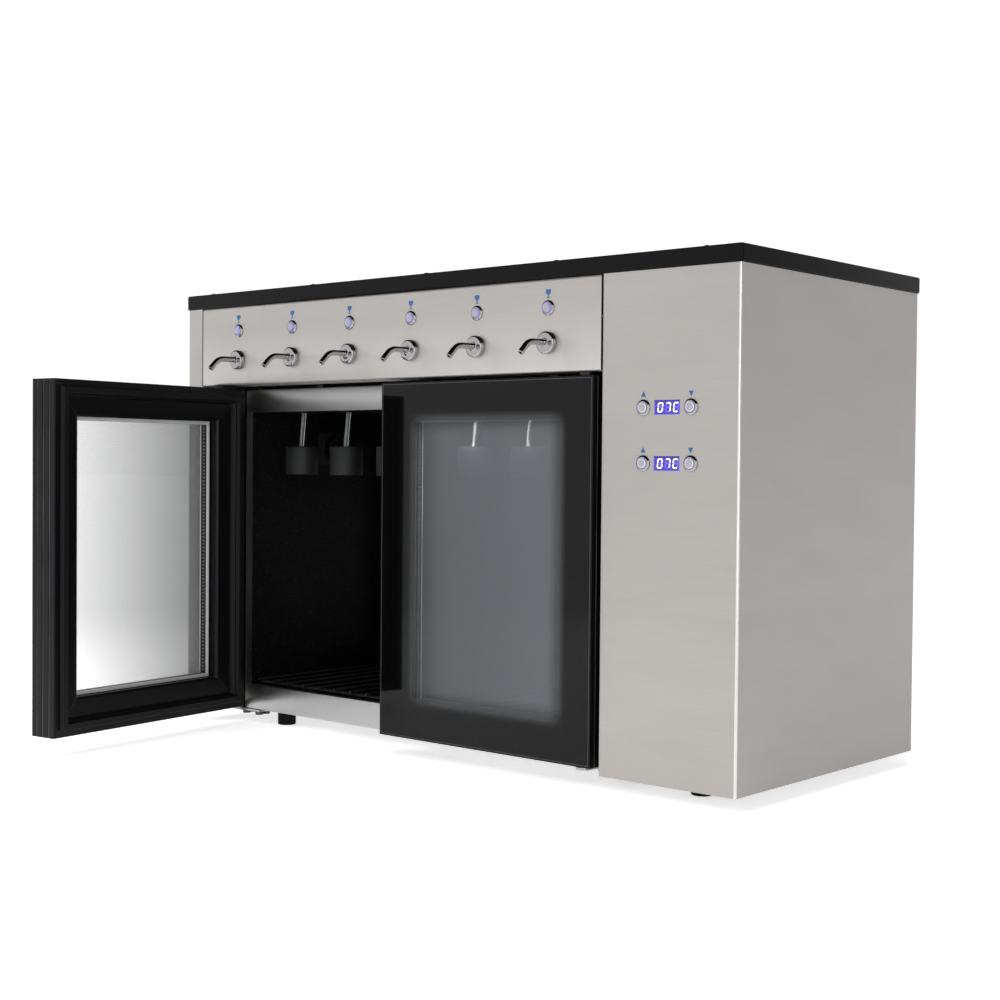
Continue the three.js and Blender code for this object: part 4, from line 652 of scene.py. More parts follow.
def door_frame_plastic(side):
    made, tree, shader = material(
        f"extruded_black_abs_{side}", "#0B0B0D", IOR=1.45, Specular_IOR_Level=0.18
    )
    reach, depth, height = door_directions(tree, side)
    sideways = nearest_edge(tree, reach, 0, DOOR_WIDTH * MM)
    upwards = nearest_edge(tree, height, door_low.z, door_high.z)
    off = add(tree, "ShaderNodeMath", (sideways, upwards), operation="SUBTRACT").outputs[0]
    weld = inside(tree, (off, -0.3 * MM, 0.3 * MM))
    where = add(tree, "ShaderNodeTexCoord").outputs["Object"]
    highlight_noise = add(tree, "ShaderNodeTexNoise", {"Vector": where, "Scale": per(70), "Detail": 2})
    highlight_strength = add(tree, "ShaderNodeMapRange", (highlight_noise.outputs["Fac"], 0.35, 0.65, 0.25, 1)).outputs[0]
    pale = add(tree, "ShaderNodeMath", (weld, 0.35), operation="MULTIPLY").outputs[0]
    # a painted highlight along each groove's crest, stronger and weaker along its length
    for groove in GROOVES:
        start = groove * DOOR_THICKNESS
        along_depth = (depth, (start + 0.7) * MM, (start + 1.5) * MM)
        crest = inside(tree, along_depth, (sideways, -1 * MM, 0.2 * MM))
        crest_highlight = add(tree, "ShaderNodeMath", (crest, highlight_strength), operation="MULTIPLY").outputs[0]
        pale = add(tree, "ShaderNodeMath", (pale, crest_highlight), operation="MAXIMUM").outputs[0]
    mottle = {"Vector": where, "Scale": per(1.5), "Detail": 3}
    noise = add(tree, "ShaderNodeTexNoise", mottle).outputs["Fac"]
    shades = {"Factor": noise, 6: linear("#0A0A0C"), 7: linear("#101013")}
    plain = add(tree, "ShaderNodeMix", shades, data_type="RGBA").outputs[2]
    shades = {"Factor": pale, 6: plain, 7: linear("#626368")}
    relief = {"Height": noise, "Strength": 0.05, "Distance": 0.05 * MM}
    fill(tree, shader, {
        "Base Color": add(tree, "ShaderNodeMix", shades, data_type="RGBA").outputs[2],
        "Roughness": add(tree, "ShaderNodeMapRange", (noise, 0.3, 0.7, 0.3, 0.38)).outputs[0],
        "Normal": add(tree, "ShaderNodeBump", relief).outputs[0],
    })
    return made


frame_plastics = {side: door_frame_plastic(side) for side in DOORS}
print("door frames:", [m.name for m in frame_plastics.values()])

# %% [markdown]
# ## Tinted glass
# Each door is glazed twice. The outer pane is tinted, and its black ceramic border is
# printed on its back and ends in fine dots round the window. The tint holds back more
# light towards the hinge. Glass of this thickness bends light so little that an alpha
# does it: the border is opaque, the window lets through what the tint leaves, and the
# shader's own gloss makes the reflections. A pale painted reflection of the white room is
# added to the window's colour: it grows from the border inwards and is thinner at the free
# side. A thin paler line along the pane's edge is a painted highlight.

# %% Tinted front panes
WINDOW = {"hinge": 43.5, "free": 54.0, "bottom": 46.0, "top": 43.5}  # border widths in mm
DOTS = {"left": 6, "right": 13}  # width of the print's dotted edge in mm
DOT_PITCH = 4.0  # of a row of dots, in mm
DOT_CONTRAST = 0.22  # how far a dot's middle is ahead of the border's fading
PAINTED_REFLECTION = (-7, 25)  # the painted reflection grows between these distances from the border's edge, in mm
THIN_REFLECTION, THIN_SHARE = (52, 28), 0.74  # it thins between these, at the free side, to this share
GLASS_LIP = 1.9  # of the frame round the pane, in mm


def window(tree, edges, outer, inner):
    """0 at one distance inside the border's edge, 1 at another, both in millimetres."""
    share = 1.0
    for value, edge, sign in edges:
        fade = (value, edge + sign * outer * MM, edge + sign * inner * MM, 0, 1)
        rise = add(tree, "ShaderNodeMapRange", fade, interpolation_type="SMOOTHSTEP").outputs[0]
        share = add(tree, "ShaderNodeMath", (share, rise), operation="MULTIPLY").outputs[0]
    return share


def dotted_edge(tree, directions, fading):
    """1 in the window and 0 on the border, with rows of fine dots where one fades away."""
    dots = 1.0
    for value in directions:
        turns = (value, 2 * math.pi / (DOT_PITCH * MM))
        row = add(tree, "ShaderNodeMath", turns, operation="MULTIPLY").outputs[0]
        wave = add(tree, "ShaderNodeMath", (row,), operation="SINE").outputs[0]
        dots = add(tree, "ShaderNodeMath", (dots, wave), operation="MULTIPLY").outputs[0]
    dotted = (dots, DOT_CONTRAST, fading)
    coverage = add(tree, "ShaderNodeMath", dotted, operation="MULTIPLY_ADD").outputs[0]
    return add(tree, "ShaderNodeMapRange", (coverage, 0.12, 0.88, 0, 1)).outputs[0]


def painted_edge_highlight(tree, reach, height):
    """A faint share of painted highlight along the pane's edge, and 0 further in."""
    sideways = nearest_edge(tree, reach, GLASS_LIP * MM, (DOOR_WIDTH - GLASS_LIP) * MM)
    upwards = nearest_edge(tree, height, door_low.z + GLASS_LIP * MM, door_high.z - GLASS_LIP * MM)
    rim = add(tree, "ShaderNodeMath", (sideways, upwards), operation="MINIMUM").outputs[0]
    return add(tree, "ShaderNodeMapRange", (rim, 0.9 * MM, 1.1 * MM, 0.3, 0)).outputs[0]


def tinted_pane(side, near_hinge, near_free):
    """The tint's alpha near the hinge and near the free side is given."""
    made, tree, shader = material(
        f"tinted_glass_{side}", "#050506", Roughness=0.04, IOR=1.3, Specular_IOR_Level=0.45
    )
    reach, _, height = door_directions(tree, side)
    hinge_edge, free_edge = WINDOW["hinge"], DOOR_WIDTH - WINDOW["free"]
    edges = (
        (reach, hinge_edge * MM, 1),
        (reach, free_edge * MM, -1),
        (height, door_low.z + WINDOW["bottom"] * MM, 1),
        (height, door_high.z - WINDOW["top"] * MM, -1),
    )
    clear = dotted_edge(tree, (reach, height), window(tree, edges, 0, DOTS[side]))
    solid = add(tree, "ShaderNodeMath", (1.0, clear), operation="SUBTRACT").outputs[0]
    across = (reach, hinge_edge * MM, free_edge * MM, near_hinge, near_free)
    density = add(tree, "ShaderNodeMapRange", across).outputs[0]
    tinted = (clear, density, solid)
    thin_start, thin_end = ((free_edge - distance) * MM for distance in THIN_REFLECTION)
    fade = (reach, thin_start, thin_end, 1, THIN_SHARE)
    thinner = add(tree, "ShaderNodeMapRange", fade, interpolation_type="SMOOTHSTEP").outputs[0]
    haze = (window(tree, edges, *PAINTED_REFLECTION), thinner)
    reflection_share = add(tree, "ShaderNodeMath", haze, operation="MULTIPLY").outputs[0]
    # a pale painted reflection of the white room, fading towards the border and thinner at the free side
    shades = {"Factor": reflection_share, 6: linear("#060607"), 7: linear("#696D71")}
    tint = add(tree, "ShaderNodeMix", shades, data_type="RGBA").outputs[2]
    # a thin painted highlight along the pane's edge
    shades = {"Factor": painted_edge_highlight(tree, reach, height), 6: tint, 7: linear("#6A6C70")}
    fill(tree, shader, {
        "Base Color": add(tree, "ShaderNodeMix", shades, data_type="RGBA").outputs[2],
        "Alpha": add(tree, "ShaderNodeMath", tinted, operation="MULTIPLY_ADD").outputs[0],
    })
    return made


panes = {"left": tinted_pane("left", 0.54, 0.03), "right": tinted_pane("right", 0.58, 0.34)}
print("tinted glass:", [m.name for m in panes.values()])

# %% [markdown]
# ## Clear glass
# The inner pane is plain float glass, nearly invisible: a low alpha and a faint gloss are
# enough, with wiping marks that make the gloss a little uneven. A small studio lamp in
# the right compartment's mouth shows what hangs behind the two panes.

# %% Clear inner panes and a lamp behind them
def clear_pane():
    made, tree, shader = material(
        "clear_float_glass", "#2A2E2D", Roughness=0.03, IOR=1.45, Alpha=0.05, Specular_IOR_Level=0.2
    )
    where = add(tree, "ShaderNodeTexCoord").outputs["Object"]
    haze = add(tree, "ShaderNodeTexNoise", {"Vector": where, "Scale": per(60), "Detail": 2})
    wiped = (haze.outputs["Fac"], 0.3, 0.7, 0.02, 0.06)
    fill(tree, shader, {"Roughness": add(tree, "ShaderNodeMapRange", wiped).outputs[0]})
    return made


clear_glass = clear_pane()
cavity_low, cavity_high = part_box("liner_right")
lamp_at = Vector(((cavity_low.x + cavity_high.x) / 2, cavity_low.y, cavity_high.z - 0.012))
cavity_lamp = softbox(
    "right_compartment_lamp", lamp_at, lamp_at + Vector((0, 0.1, -0.12)), 0.28, 0.015, 3.4
)
cavity_lamp.visible_camera = False
cavity_lamp.visible_glossy = False
print("clear glass:", clear_glass.name, "and", cavity_lamp.name)

# %% [markdown]
# ## Lit displays
# Behind each display window sits a blue-violet digit module. The window's own edges
# catch its light and look paler than its middle. It is a real light source, though a weak
# one, so its colour goes to the shader's emission.

# %% Blue-violet display windows
DISPLAY_FRAME = 4.0  # round the lit window, in mm


def display_window(name, node):
    made, tree, shader = material(
        name, "#2A2370", Roughness=0.25, IOR=1.5, Emission_Strength=0.75
    )
    low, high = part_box(node)
    middle, half = (low + high) / 2, (high - low) / 2
    lit_half = Vector((half.x - DISPLAY_FRAME * MM, 1, half.z - DISPLAY_FRAME * MM))
    where = add(tree, "ShaderNodeTexCoord").outputs["Object"]
    centred = add(tree, "ShaderNodeVectorMath", (where, middle), operation="SUBTRACT").outputs[0]
    scaled = add(tree, "ShaderNodeVectorMath", (centred, lit_half), operation="DIVIDE").outputs[0]
    folded = add(tree, "ShaderNodeVectorMath", (scaled,), operation="ABSOLUTE").outputs[0]
    x, _, z = add(tree, "ShaderNodeSeparateXYZ", (folded,)).outputs
    edge = add(tree, "ShaderNodeMath", (x, z), operation="MAXIMUM").outputs[0]
    fade = (edge, 0.9, 1.0, 0, 1)
    rim = add(tree, "ShaderNodeMapRange", fade, interpolation_type="SMOOTHSTEP").outputs[0]
    shades = {"Factor": rim, 6: linear("#3C30AE"), 7: linear("#877BDD")}
    light = add(tree, "ShaderNodeMix", shades, data_type="RGBA").outputs[2]
    height = add(tree, "ShaderNodeSeparateXYZ", (scaled,)).outputs["Z"]
    fade = (height, 0.62, 0.95, 0, 1)
    shadow = add(tree, "ShaderNodeMapRange", fade, interpolation_type="SMOOTHSTEP").outputs[0]
    shades = {"Factor": shadow, 6: light, 7: linear("#241C7A")}
    shaded = add(tree, "ShaderNodeMix", shades, data_type="RGBA").outputs[2]
    fill(tree, shader, {"Emission Color": shaded})
    return made


def glowing(name, colour, strength):
    made, tree, shader = material(name, colour, Roughness=0.3, Emission_Strength=strength)
    where = add(tree, "ShaderNodeTexCoord").outputs["Object"]
    noise = add(tree, "ShaderNodeTexNoise", {"Vector": where, "Scale": per(3)}).outputs["Fac"]
    pale = add(tree, "ShaderNodeMapRange", (noise, 0.3, 0.7, 0, 1)).outputs[0]
    brighter = linear("#FFFFFF" if strength > 1 else colour)
    shades = {"Factor": pale, 6: linear(colour), 7: brighter}
    tint = add(tree, "ShaderNodeMix", shades, data_type="RGBA").outputs[2]
    fill(tree, shader, {"Emission Color": tint})
    return made


windows = {
    row: display_window(f"display_window_{row}", f"display_{row}") for row in ("upper", "lower")
}
lit_segment = glowing("lit_white_segment", "#F2F0FF", 1.15)
unlit_segment = glowing("unlit_violet_segment", "#5D52CC", 0.7)
led_violet = glowing("violet_led_ring", "#6F74F0", 0.85)
led_pale = glowing("pale_blue_led_ring", "#AFBCF8", 0.9)
print("lit:", [m.name for m in (lit_segment, unlit_segment, led_violet, led_pale)])

# %% [markdown]
# ## Dress the model's own pieces
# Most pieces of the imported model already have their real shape, so they stay and take a
# finish. Their faces are flat, and where they stand for a curve a smooth shading hides
# the facets. That is done by a small geometry-node tool: it welds the corners, drops the
# stored normals and keeps an edge sharp only where the surface really turns.

# %% Smooth the facets and hand out the finishes
def smoother(name, sharp_degrees):
    """A geometry-node tool that shades smooth across every edge flatter than the angle."""
    tree = bpy.data.node_groups.new(name, "GeometryNodeTree")
    tree.interface.new_socket("Geometry", in_out="INPUT", socket_type="NodeSocketGeometry")
    tree.interface.new_socket("Geometry", in_out="OUTPUT", socket_type="NodeSocketGeometry")
    came_in = add(tree, "NodeGroupInput").outputs["Geometry"]
    weld = add(tree, "GeometryNodeMergeByDistance", {"Geometry": came_in, "Distance": 0.02 * MM})
    stored = {"Geometry": weld.outputs[0], "Name": "custom_normal"}
    smooth = add(tree, "GeometryNodeRemoveAttribute", stored).outputs[0]
    for domain in ("FACE", "EDGE"):
        smooth = add(
            tree, "GeometryNodeSetShadeSmooth", {"Geometry": smooth}, domain=domain
        ).outputs[0]
    angle = add(tree, "GeometryNodeInputMeshEdgeAngle").outputs["Unsigned Angle"]
    limit = (angle, math.radians(sharp_degrees))
    turned = add(
        tree, "FunctionNodeCompare", limit, data_type="FLOAT", operation="GREATER_THAN"
    ).outputs[0]
    kept_sharp = {"Geometry": smooth, "Selection": turned, "Shade Smooth": False}
    sharp = add(tree, "GeometryNodeSetShadeSmooth", kept_sharp, domain="EDGE").outputs[0]
    add(tree, "NodeGroupOutput", {"Geometry": sharp})
    return tree


finishes = {
    "top_cover": black_coat,
    "left_side_panel": steel,
    "right_side_panel": steel,
    "tap_fascia": steel,
    "front_frame": frame_steel,
    "back_panel": zinc,
    "base_plate": base_zinc,
    "insulation": foam,
    "control_board": board_green,
    "compressor": machine_black,
    "condenser": aluminium,
    "gas_manifold": bright_steel,
    "gas_regulator": moulded_black,
    "door_frame_left": frame_plastics["left"],
    "door_frame_right": frame_plastics["right"],
    "door_glass_left": panes["left"],
    "door_glass_right": panes["right"],
    "display_upper": windows["upper"],
    "display_lower": windows["lower"],
}
families = {
    "liner": liner_black,
    "bottle_rack": wire_coat,
    "evaporator": aluminium,
    "circulation_fan": moulded_black,
    "condenser_fan": moulded_black,
    "tap_": chrome,
    "dispense_button": bright_steel,
    "up_button": bright_steel,
    "down_button": bright_steel,
    "stopper": stopper_black,
    "door_inner_glass": clear_glass,
    "door_gasket": gasket_black,
    "lower_hinge": bright_steel,
    "upper_hinge": hinge_black,
}
facet_smoother = smoother("smooth_across_facets", 32)
for name, node in nodes.items():
    finish = finishes.get(name) or next(
        found for start, found in families.items() if name.startswith(start)
    )
    node.data.materials.clear()
    node.data.materials.append(finish)
    modifier = node.modifiers.new("smooth_across_facets", "NODES")
    modifier.node_group = facet_smoother
print("dressed", len(nodes), "nodes")

# %% [markdown]
# ## Round pieces: one profile, turned
# Taps' rosettes, push buttons, bezels, feet and stoppers are all turned or moulded round.
# In Blender such a piece could be a cylinder with bevels, but its real outline has steps,
# rims and hollows, so it is made as on a lathe: a profile of radii and heights is turned
# round an axis, and each softened corner is given by a few close points.

# %% A lathe and a tube bender
def frame_of(axis):
    """An axis as a unit vector, and two directions square to it."""
    axis = Vector(axis).normalized()
    side = axis.cross(Vector((0, 0, 1)) if abs(axis.z) < 0.9 else Vector((0, 1, 0))).normalized()
    return axis, side, axis.cross(side)


def bridge(mesh, first, second):
    """Joins two rings of as many corners by a band of faces."""
    for k in range(len(first)):
        n = (k + 1) % len(first)
        mesh.faces.new((first[k], second[k], second[n], first[n]))


def object_of(name, mesh, finish, body, sharp_degrees=35):
    """Makes an object of a bmesh, shades it, dresses it and lets it ride on a body."""
    bmesh.ops.recalc_face_normals(mesh, faces=mesh.faces)
    data = bpy.data.meshes.new(name)
    mesh.to_mesh(data)
    mesh.free()
    for polygon in data.polygons:
        polygon.use_smooth = True
    data.set_sharp_from_angle(angle=math.radians(sharp_degrees))
    data.materials.append(finish)
    made = bpy.data.objects.new(name, data)
    scene.collection.objects.link(made)
    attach(made, body)
    return made


def add_turned(mesh, profile, at, axis, sides=40):
    """Adds a turned body to a bmesh. The profile is (radius, height) pairs in mm."""
    axis, side, other = frame_of(axis)
    rings = []
    for radius, height in profile:
        middle = Vector(at) + axis * height * MM
        if radius == 0:
            rings.append([mesh.verts.new(middle)])
            continue
        ring = []
        for k in range(sides):
            angle = 2 * math.pi * k / sides
            out = side * math.cos(angle) + other * math.sin(angle)
            ring.append(mesh.verts.new(middle + out * radius * MM))
        rings.append(ring)
    for first, second in zip(rings, rings[1:]):
        if len(first) == len(second):
            bridge(mesh, first, second)
            continue
        tip, ring = (first, second) if len(first) == 1 else (second, first)
        for k in range(sides):
            mesh.faces.new((tip[0], ring[k], ring[(k + 1) % sides]))


def add_tube(mesh, line, radius, sides=16, bore=0.0, bore_depth=0):
    """Adds a round tube along a line to a bmesh; a bore opens its far end if given."""
    across = None
    rings = []
    for k, point in enumerate(line):
        ahead = line[min(k + 1, len(line) - 1)] - line[max(k - 1, 0)]
        ahead.normalize()
        if across is None:
            _, across, _ = frame_of(ahead)
        across = (across - ahead * across.dot(ahead)).normalized()
        rings.append((point, across.copy(), ahead.cross(across)))

    def ring(place, size):
        point, side, other = place
        angles = [2 * math.pi * j / sides for j in range(sides)]
        outwards = [side * math.cos(angle) + other * math.sin(angle) for angle in angles]
        return [mesh.verts.new(point + out * size * MM) for out in outwards]

    loops = [ring(place, radius) for place in rings]
    if bore:
        loops += [ring(rings[-1 - j], bore) for j in range(bore_depth + 1)]
    for first, second in zip(loops, loops[1:]):
        bridge(mesh, first, second)
    mesh.faces.new(loops[0])
    mesh.faces.new(loops[-1])


front_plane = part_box("left_side_panel")[0].y
TOWARDS_USER = (0, -1, 0)
UPWARDS = (0, 0, 1)
print("front plane at y =", round(front_plane, 5))

# %% [markdown]
# ## Taps
# A tap is a polished tube with a 45 degree bend, brazed into a round wall rosette. The
# rosette is a shallow dish: a flat face, a rounded rim and a narrow shadow step where it
# meets the steel. Its mirror finish shows every edge, so the rim needs real rounding and
# the spout a real bore at its tip. The cut face round the bore is ground, so it is satin.

# %% Six chrome taps
TAP_NUMBERS = range(1, 7)
ROSETTE_RADIUS = 13.5
SPOUT_REACH, SPOUT_DROP, SPOUT_RADIUS, SPOUT_BORE = 50.0, 14.5, 3.8, 2.1
BEND, BEND_STEPS = 9.0, 12  # the bend begins and ends so far from its corner


def tap_piece(number):
    low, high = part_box(f"tap_{number}")
    centre = Vector(((low.x + high.x) / 2, front_plane, high.z - ROSETTE_RADIUS * MM))
    mesh = bmesh.new()
    rosette = [
        (0, 0.35), (12.9, 0.35), (ROSETTE_RADIUS, 0.8), (ROSETTE_RADIUS, 4.8), (13.35, 5.7),
        (12.95, 6.4), (12.3, 6.95), (11.5, 7.2), (9.0, 7.28), (5.4, 7.3), (5.0, 7.5),
        (4.7, 7.8), (0, 7.8),
    ]
    add_turned(mesh, rosette, centre, TOWARDS_USER, 64)
    corner = SPOUT_REACH - SPOUT_DROP
    slope = math.sqrt(0.5)
    line = [centre + Vector((0, -y * MM, 0)) for y in (5, 10, 16, corner - BEND)]
    before = Vector((0, -(corner - BEND), 0))
    turning = Vector((0, -corner, 0))
    after = Vector((0, -corner - BEND * slope, -BEND * slope))
    for k in range(1, BEND_STEPS + 1):
        t = k / BEND_STEPS
        bent = before * (1 - t) ** 2 + turning * 2 * t * (1 - t) + after * t * t
        line.append(centre + bent * MM)
    tip = centre + Vector((0, -SPOUT_REACH, -SPOUT_DROP)) * MM
    last = line[-1]
    line += [last.lerp(tip, share) for share in (0.35, 0.7, 0.96, 1.0)]
    add_tube(mesh, line, SPOUT_RADIUS, 32, SPOUT_BORE, 3)
    lip = bmesh.new()
    ground = [(2.05, -0.3), (3.5, -0.3), (3.5, 0.08), (3.35, 0.2), (2.2, 0.2), (2.05, 0.1), (2.05, -0.3)]
    add_turned(lip, ground, tip, (0, -slope, -slope), 32)
    bmesh.ops.remove_doubles(lip, verts=lip.verts, dist=1e-7)
    object_of(f"ground_tip_of_tap_{number}", lip, satin_nickel, "cabinet", 40)
    made = object_of(f"chrome_tap_{number}", mesh, chrome, "cabinet", 40)
    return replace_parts(made, f"tap_{number}")


taps = [tap_piece(number) for number in TAP_NUMBERS]
print("taps:", len(taps), "with", len(taps[0].data.polygons), "faces each")

# %% [markdown]
# ## Push buttons
# Ten vandal-proof push buttons pour the wine and set the temperatures. Each has a fixed
# chrome bezel with a sloping rim, and a nickel-plated plunger that goes in two millimetres,
# with a ring of light set into its edge. The bezel rides on the cabinet and the plunger and
# its ring on the button's own body, so that they go in when the button is pressed.

# %% Bezels, plungers and light rings
BUTTON_BODIES = [f"dispense_button_{number}" for number in TAP_NUMBERS] + [
    f"{way}_button_{row}" for row in ("upper", "lower") for way in ("up", "down")
]


def button_pieces(button):
    low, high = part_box(button)
    centre = Vector(((low.x + high.x) / 2, front_plane, (low.z + high.z) / 2))
    bezel = bmesh.new()
    rim = [
        (6.02, 0.2), (9.25, 0.2), (9.25, 0.75), (9.1, 1.15), (8.75, 1.5), (7.6, 2.25),
        (7.15, 2.42), (6.75, 2.42), (6.35, 2.3), (6.1, 2.05), (6.02, 1.6), (6.02, 0.2),
    ]
    add_turned(bezel, rim, centre, TOWARDS_USER, 56)
    bmesh.ops.remove_doubles(bezel, verts=bezel.verts, dist=1e-7)
    object_of(f"bezel_of_{button}", bezel, chrome, "cabinet", 40)
    plunger = bmesh.new()
    cap = [
        (0, -13), (5.85, -13), (5.85, 2.6), (5.75, 2.8), (5.6, 2.85), (5.5, 2.4),
        (4.75, 2.4), (4.75, 3.5), (4.68, 3.66), (4.5, 3.74), (2.6, 3.79), (1.2, 3.8), (0, 3.8),
    ]
    add_turned(plunger, cap, centre, TOWARDS_USER, 48)
    made = object_of(f"plunger_of_{button}", plunger, satin_nickel, button, 40)
    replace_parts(made, button)
    ring = bmesh.new()
    light = [(4.8, 2.3), (5.25, 2.3), (5.25, 3.3), (5.15, 3.5), (4.95, 3.6), (4.8, 3.5), (4.8, 2.3)]
    add_turned(ring, light, centre, TOWARDS_USER, 48)
    bmesh.ops.remove_doubles(ring, verts=ring.verts, dist=1e-7)
    lit = led_violet if button.startswith("dispense") else led_pale
    object_of(f"light_ring_of_{button}", ring, lit, button, 40)
    return centre


button_centres = {button: button_pieces(button) for button in BUTTON_BODIES}
print("buttons:", len(button_centres))

# %% [markdown]
# ## Stoppers
# Over each bottle hangs a moulded black cup that presses on its mouth. A thin tube lets
# wine up through it and another lets gas down, and both run to a rubber grommet in the
# ceiling. The cup is soft-touch and satin; the wine tube is clear and catches the light.

# %% Six stoppers with their tubes
AXIS_FROM_BACK, CUP_HEIGHT = 23.4, 40.9  # of a stopper, in mm
GROMMET_SEAT, GROMMET_HEIGHT = 89.2, 2.0
TUBE_HEIGHTS = (39, 52, 65, 78, 90)  # above the cup's lower rim; the tubes lean a little as they rise
tube_clear = mottled(
    "clear_wine_tube", "#7A807D", "#8E9391", 3.0, (0.08, 0.15), 0.02, IOR=1.45, Alpha=0.8
)
tube_steel = mottled(
    "drawn_steel_gas_tube", "#6E7072", "#7E8082", 3.0, (0.15, 0.25), 0.02, Metallic=1.0
)


def stopper_piece(number):
    low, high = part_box(f"stopper_{number}")
    centre = Vector(((low.x + high.x) / 2, high.y - AXIS_FROM_BACK * MM, low.z))
    cup = bmesh.new()
    outline = [
        (0, 28.8), (15.2, 28.8), (16.2, 28.0), (16.5, 27.0), (16.5, 1.6), (17.1, 0.5),
        (18.0, 0.1), (22.4, 0.1), (23.2, 0.5), (23.6, 1.4), (23.6, 38.6), (23.2, 40.0),
        (22.2, CUP_HEIGHT), (12.0, CUP_HEIGHT), (0, CUP_HEIGHT),
    ]
    add_turned(cup, outline, centre, UPWARDS, 56)
    made = object_of(f"stopper_cup_{number}", cup, stopper_black, "cabinet", 50)
    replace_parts(made, f"stopper_{number}")
    grommet = bmesh.new()
    seat, top = GROMMET_SEAT, GROMMET_SEAT + GROMMET_HEIGHT
    flange = [(0, seat), (9.5, seat), (10.6, seat + 0.5), (11.1, top - 0.1), (8.2, top), (0, top)]
    add_turned(grommet, flange, centre, UPWARDS, 40)
    object_of(f"grommet_{number}", grommet, gasket_black, "cabinet", 40)
    for label, shift, radius, finish in (
        ("wine", -2.6, 2.6, tube_clear),
        ("gas", 2.6, 2.0, tube_steel),
    ):
        tube = bmesh.new()
        line = []
        for z in TUBE_HEIGHTS:
            risen = z - TUBE_HEIGHTS[0]
            line.append(centre + Vector((shift + risen * 0.07, risen * 0.04, z)) * MM)
        add_tube(tube, line, radius, 20)
        object_of(f"{label}_tube_{number}", tube, finish, "cabinet", 40)
    return made


stoppers = [stopper_piece(number) for number in TAP_NUMBERS]
print("stoppers:", len(stoppers), "with", len(stoppers[0].data.polygons), "faces each")

# %% [markdown]
# ## Bottle racks
# Each compartment has a low wire rack: long wires welded on two cross bars, all in one
# black plastic coat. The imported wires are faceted, so each wire and bar is made again as
# a round tube, and where two of them meet they just run into each other, as welded ones do.

# %% Two wire racks
RACK_WIRES, WIRE, BAR = 10, 2.0, 2.5  # how many wires, and the radii of wires and bars
BAR_INSET = 8.0  # from the rack's front and back to its cross bars
BAR_SHORT, WIRE_SHORT = 0.6, 0.5  # how far their ends stay inside the rack's outline


def rack_piece(side):
    low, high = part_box(f"bottle_rack_{side}")
    mesh = bmesh.new()
    bar_z, wire_z = low.z + BAR * MM, high.z - WIRE * MM
    for y in (low.y + BAR_INSET * MM, high.y - BAR_INSET * MM):
        start = Vector((low.x + BAR_SHORT * MM, y, bar_z))
        end = Vector((high.x - BAR_SHORT * MM, y, bar_z))
        add_tube(mesh, [start.lerp(end, k / 4) for k in range(5)], BAR, 14)
    step = (high.x - low.x - 2 * WIRE * MM) / (RACK_WIRES - 1)
    for k in range(RACK_WIRES):
        x = low.x + WIRE * MM + k * step
        start = Vector((x, high.y - WIRE_SHORT * MM, wire_z))
        end = Vector((x, low.y + WIRE_SHORT * MM, wire_z))
        add_tube(mesh, [start.lerp(end, j / 6) for j in range(7)], WIRE, 14)
    made = object_of(f"wire_rack_{side}", mesh, wire_coat, "cabinet", 50)
    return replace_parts(made, f"bottle_rack_{side}")


racks = [rack_piece(side) for side in ("left", "right")]
print("racks:", [len(rack.data.polygons) for rack in racks])

# %% [markdown]
# ## Screws and mains inlet
# Pan-head screws hold the back panel along its four edges; a turned head with a hollow for
# the driver is enough at this size. The mains inlet is a black nylon cup pushed into the
# panel's socket, with three flat pins standing in it: a lead plugs in, so none hangs out.

# %% Screws and inlet on the back
SHEET = 1.2  # of the back panel, whose socket stands as much proud of it
INLET_SIZE = (28, 20, 11)  # width, height and depth
INLET_CENTRE = (-60, 228)  # from the right side, and above the floor
SCREW_INSET = (21, 8)  # from the panel's sides, and from its bottom and top
SCREWS_ACROSS, SCREWS_UP = 6, 4
back_low, back_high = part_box("back_panel")
back_plane = back_high.y - SHEET * MM
AWAY = (0, 1, 0)
SCREW = [(0, -0.6), (1.5, -0.6), (1.5, 0.02), (3.4, 0.02), (3.4, 0.55), (3.1, 1.1), (2.4, 1.5)]
SCREW += [(1.3, 1.68), (1.0, 1.5), (0.7, 0.8), (0, 0.6)]


def add_prism(mesh, outline, near, far, taper=1.0):
    """Adds a closed prism along Y: (x, z) corners in metres, its far end scaled by a taper."""
    middle = Vector((sum(x for x, _ in outline), 0, sum(z for _, z in outline))) / len(outline)
    ends = []
    for y, scale in ((near, 1.0), (far, taper)):
        corners = [middle + (Vector((x, 0, z)) - middle) * scale for x, z in outline]
        ends.append([mesh.verts.new(corner + Vector((0, y, 0))) for corner in corners])
        mesh.faces.new(ends[-1])
    bridge(mesh, *ends)


def screw_places():
    aside, inwards = (inset * MM for inset in SCREW_INSET)
    left, right_edge = back_low.x + aside, back_high.x - aside
    bottom, top = back_low.z + inwards, back_high.z - inwards
    for k in range(SCREWS_ACROSS):
        x = left + (right_edge - left) * k / (SCREWS_ACROSS - 1)
        yield from ((x, bottom), (x, top))
    for k in range(1, SCREWS_UP - 1):
        z = bottom + (top - bottom) * k / (SCREWS_UP - 1)
        yield from ((left, z), (right_edge, z))


for number, (x, z) in enumerate(screw_places(), 1):
    head = bmesh.new()
    add_turned(head, SCREW, (x, back_plane, z), AWAY, 24)
    object_of(f"back_screw_{number}", head, bright_steel, "cabinet", 40)


def rounded(centre, width, height, radius):
    """The outline of a rectangle with rounded corners, in metres."""
    points = []
    for turn_start, sx, sz in ((0, 1, 1), (90, -1, 1), (180, -1, -1), (270, 1, -1)):
        for step in range(5):
            angle = math.radians(turn_start + 22.5 * step)
            x = sx * (width / 2 - radius) + radius * math.cos(angle)
            z = sz * (height / 2 - radius) + radius * math.sin(angle)
            points.append((centre[0] + x * MM, centre[1] + z * MM))
    return points


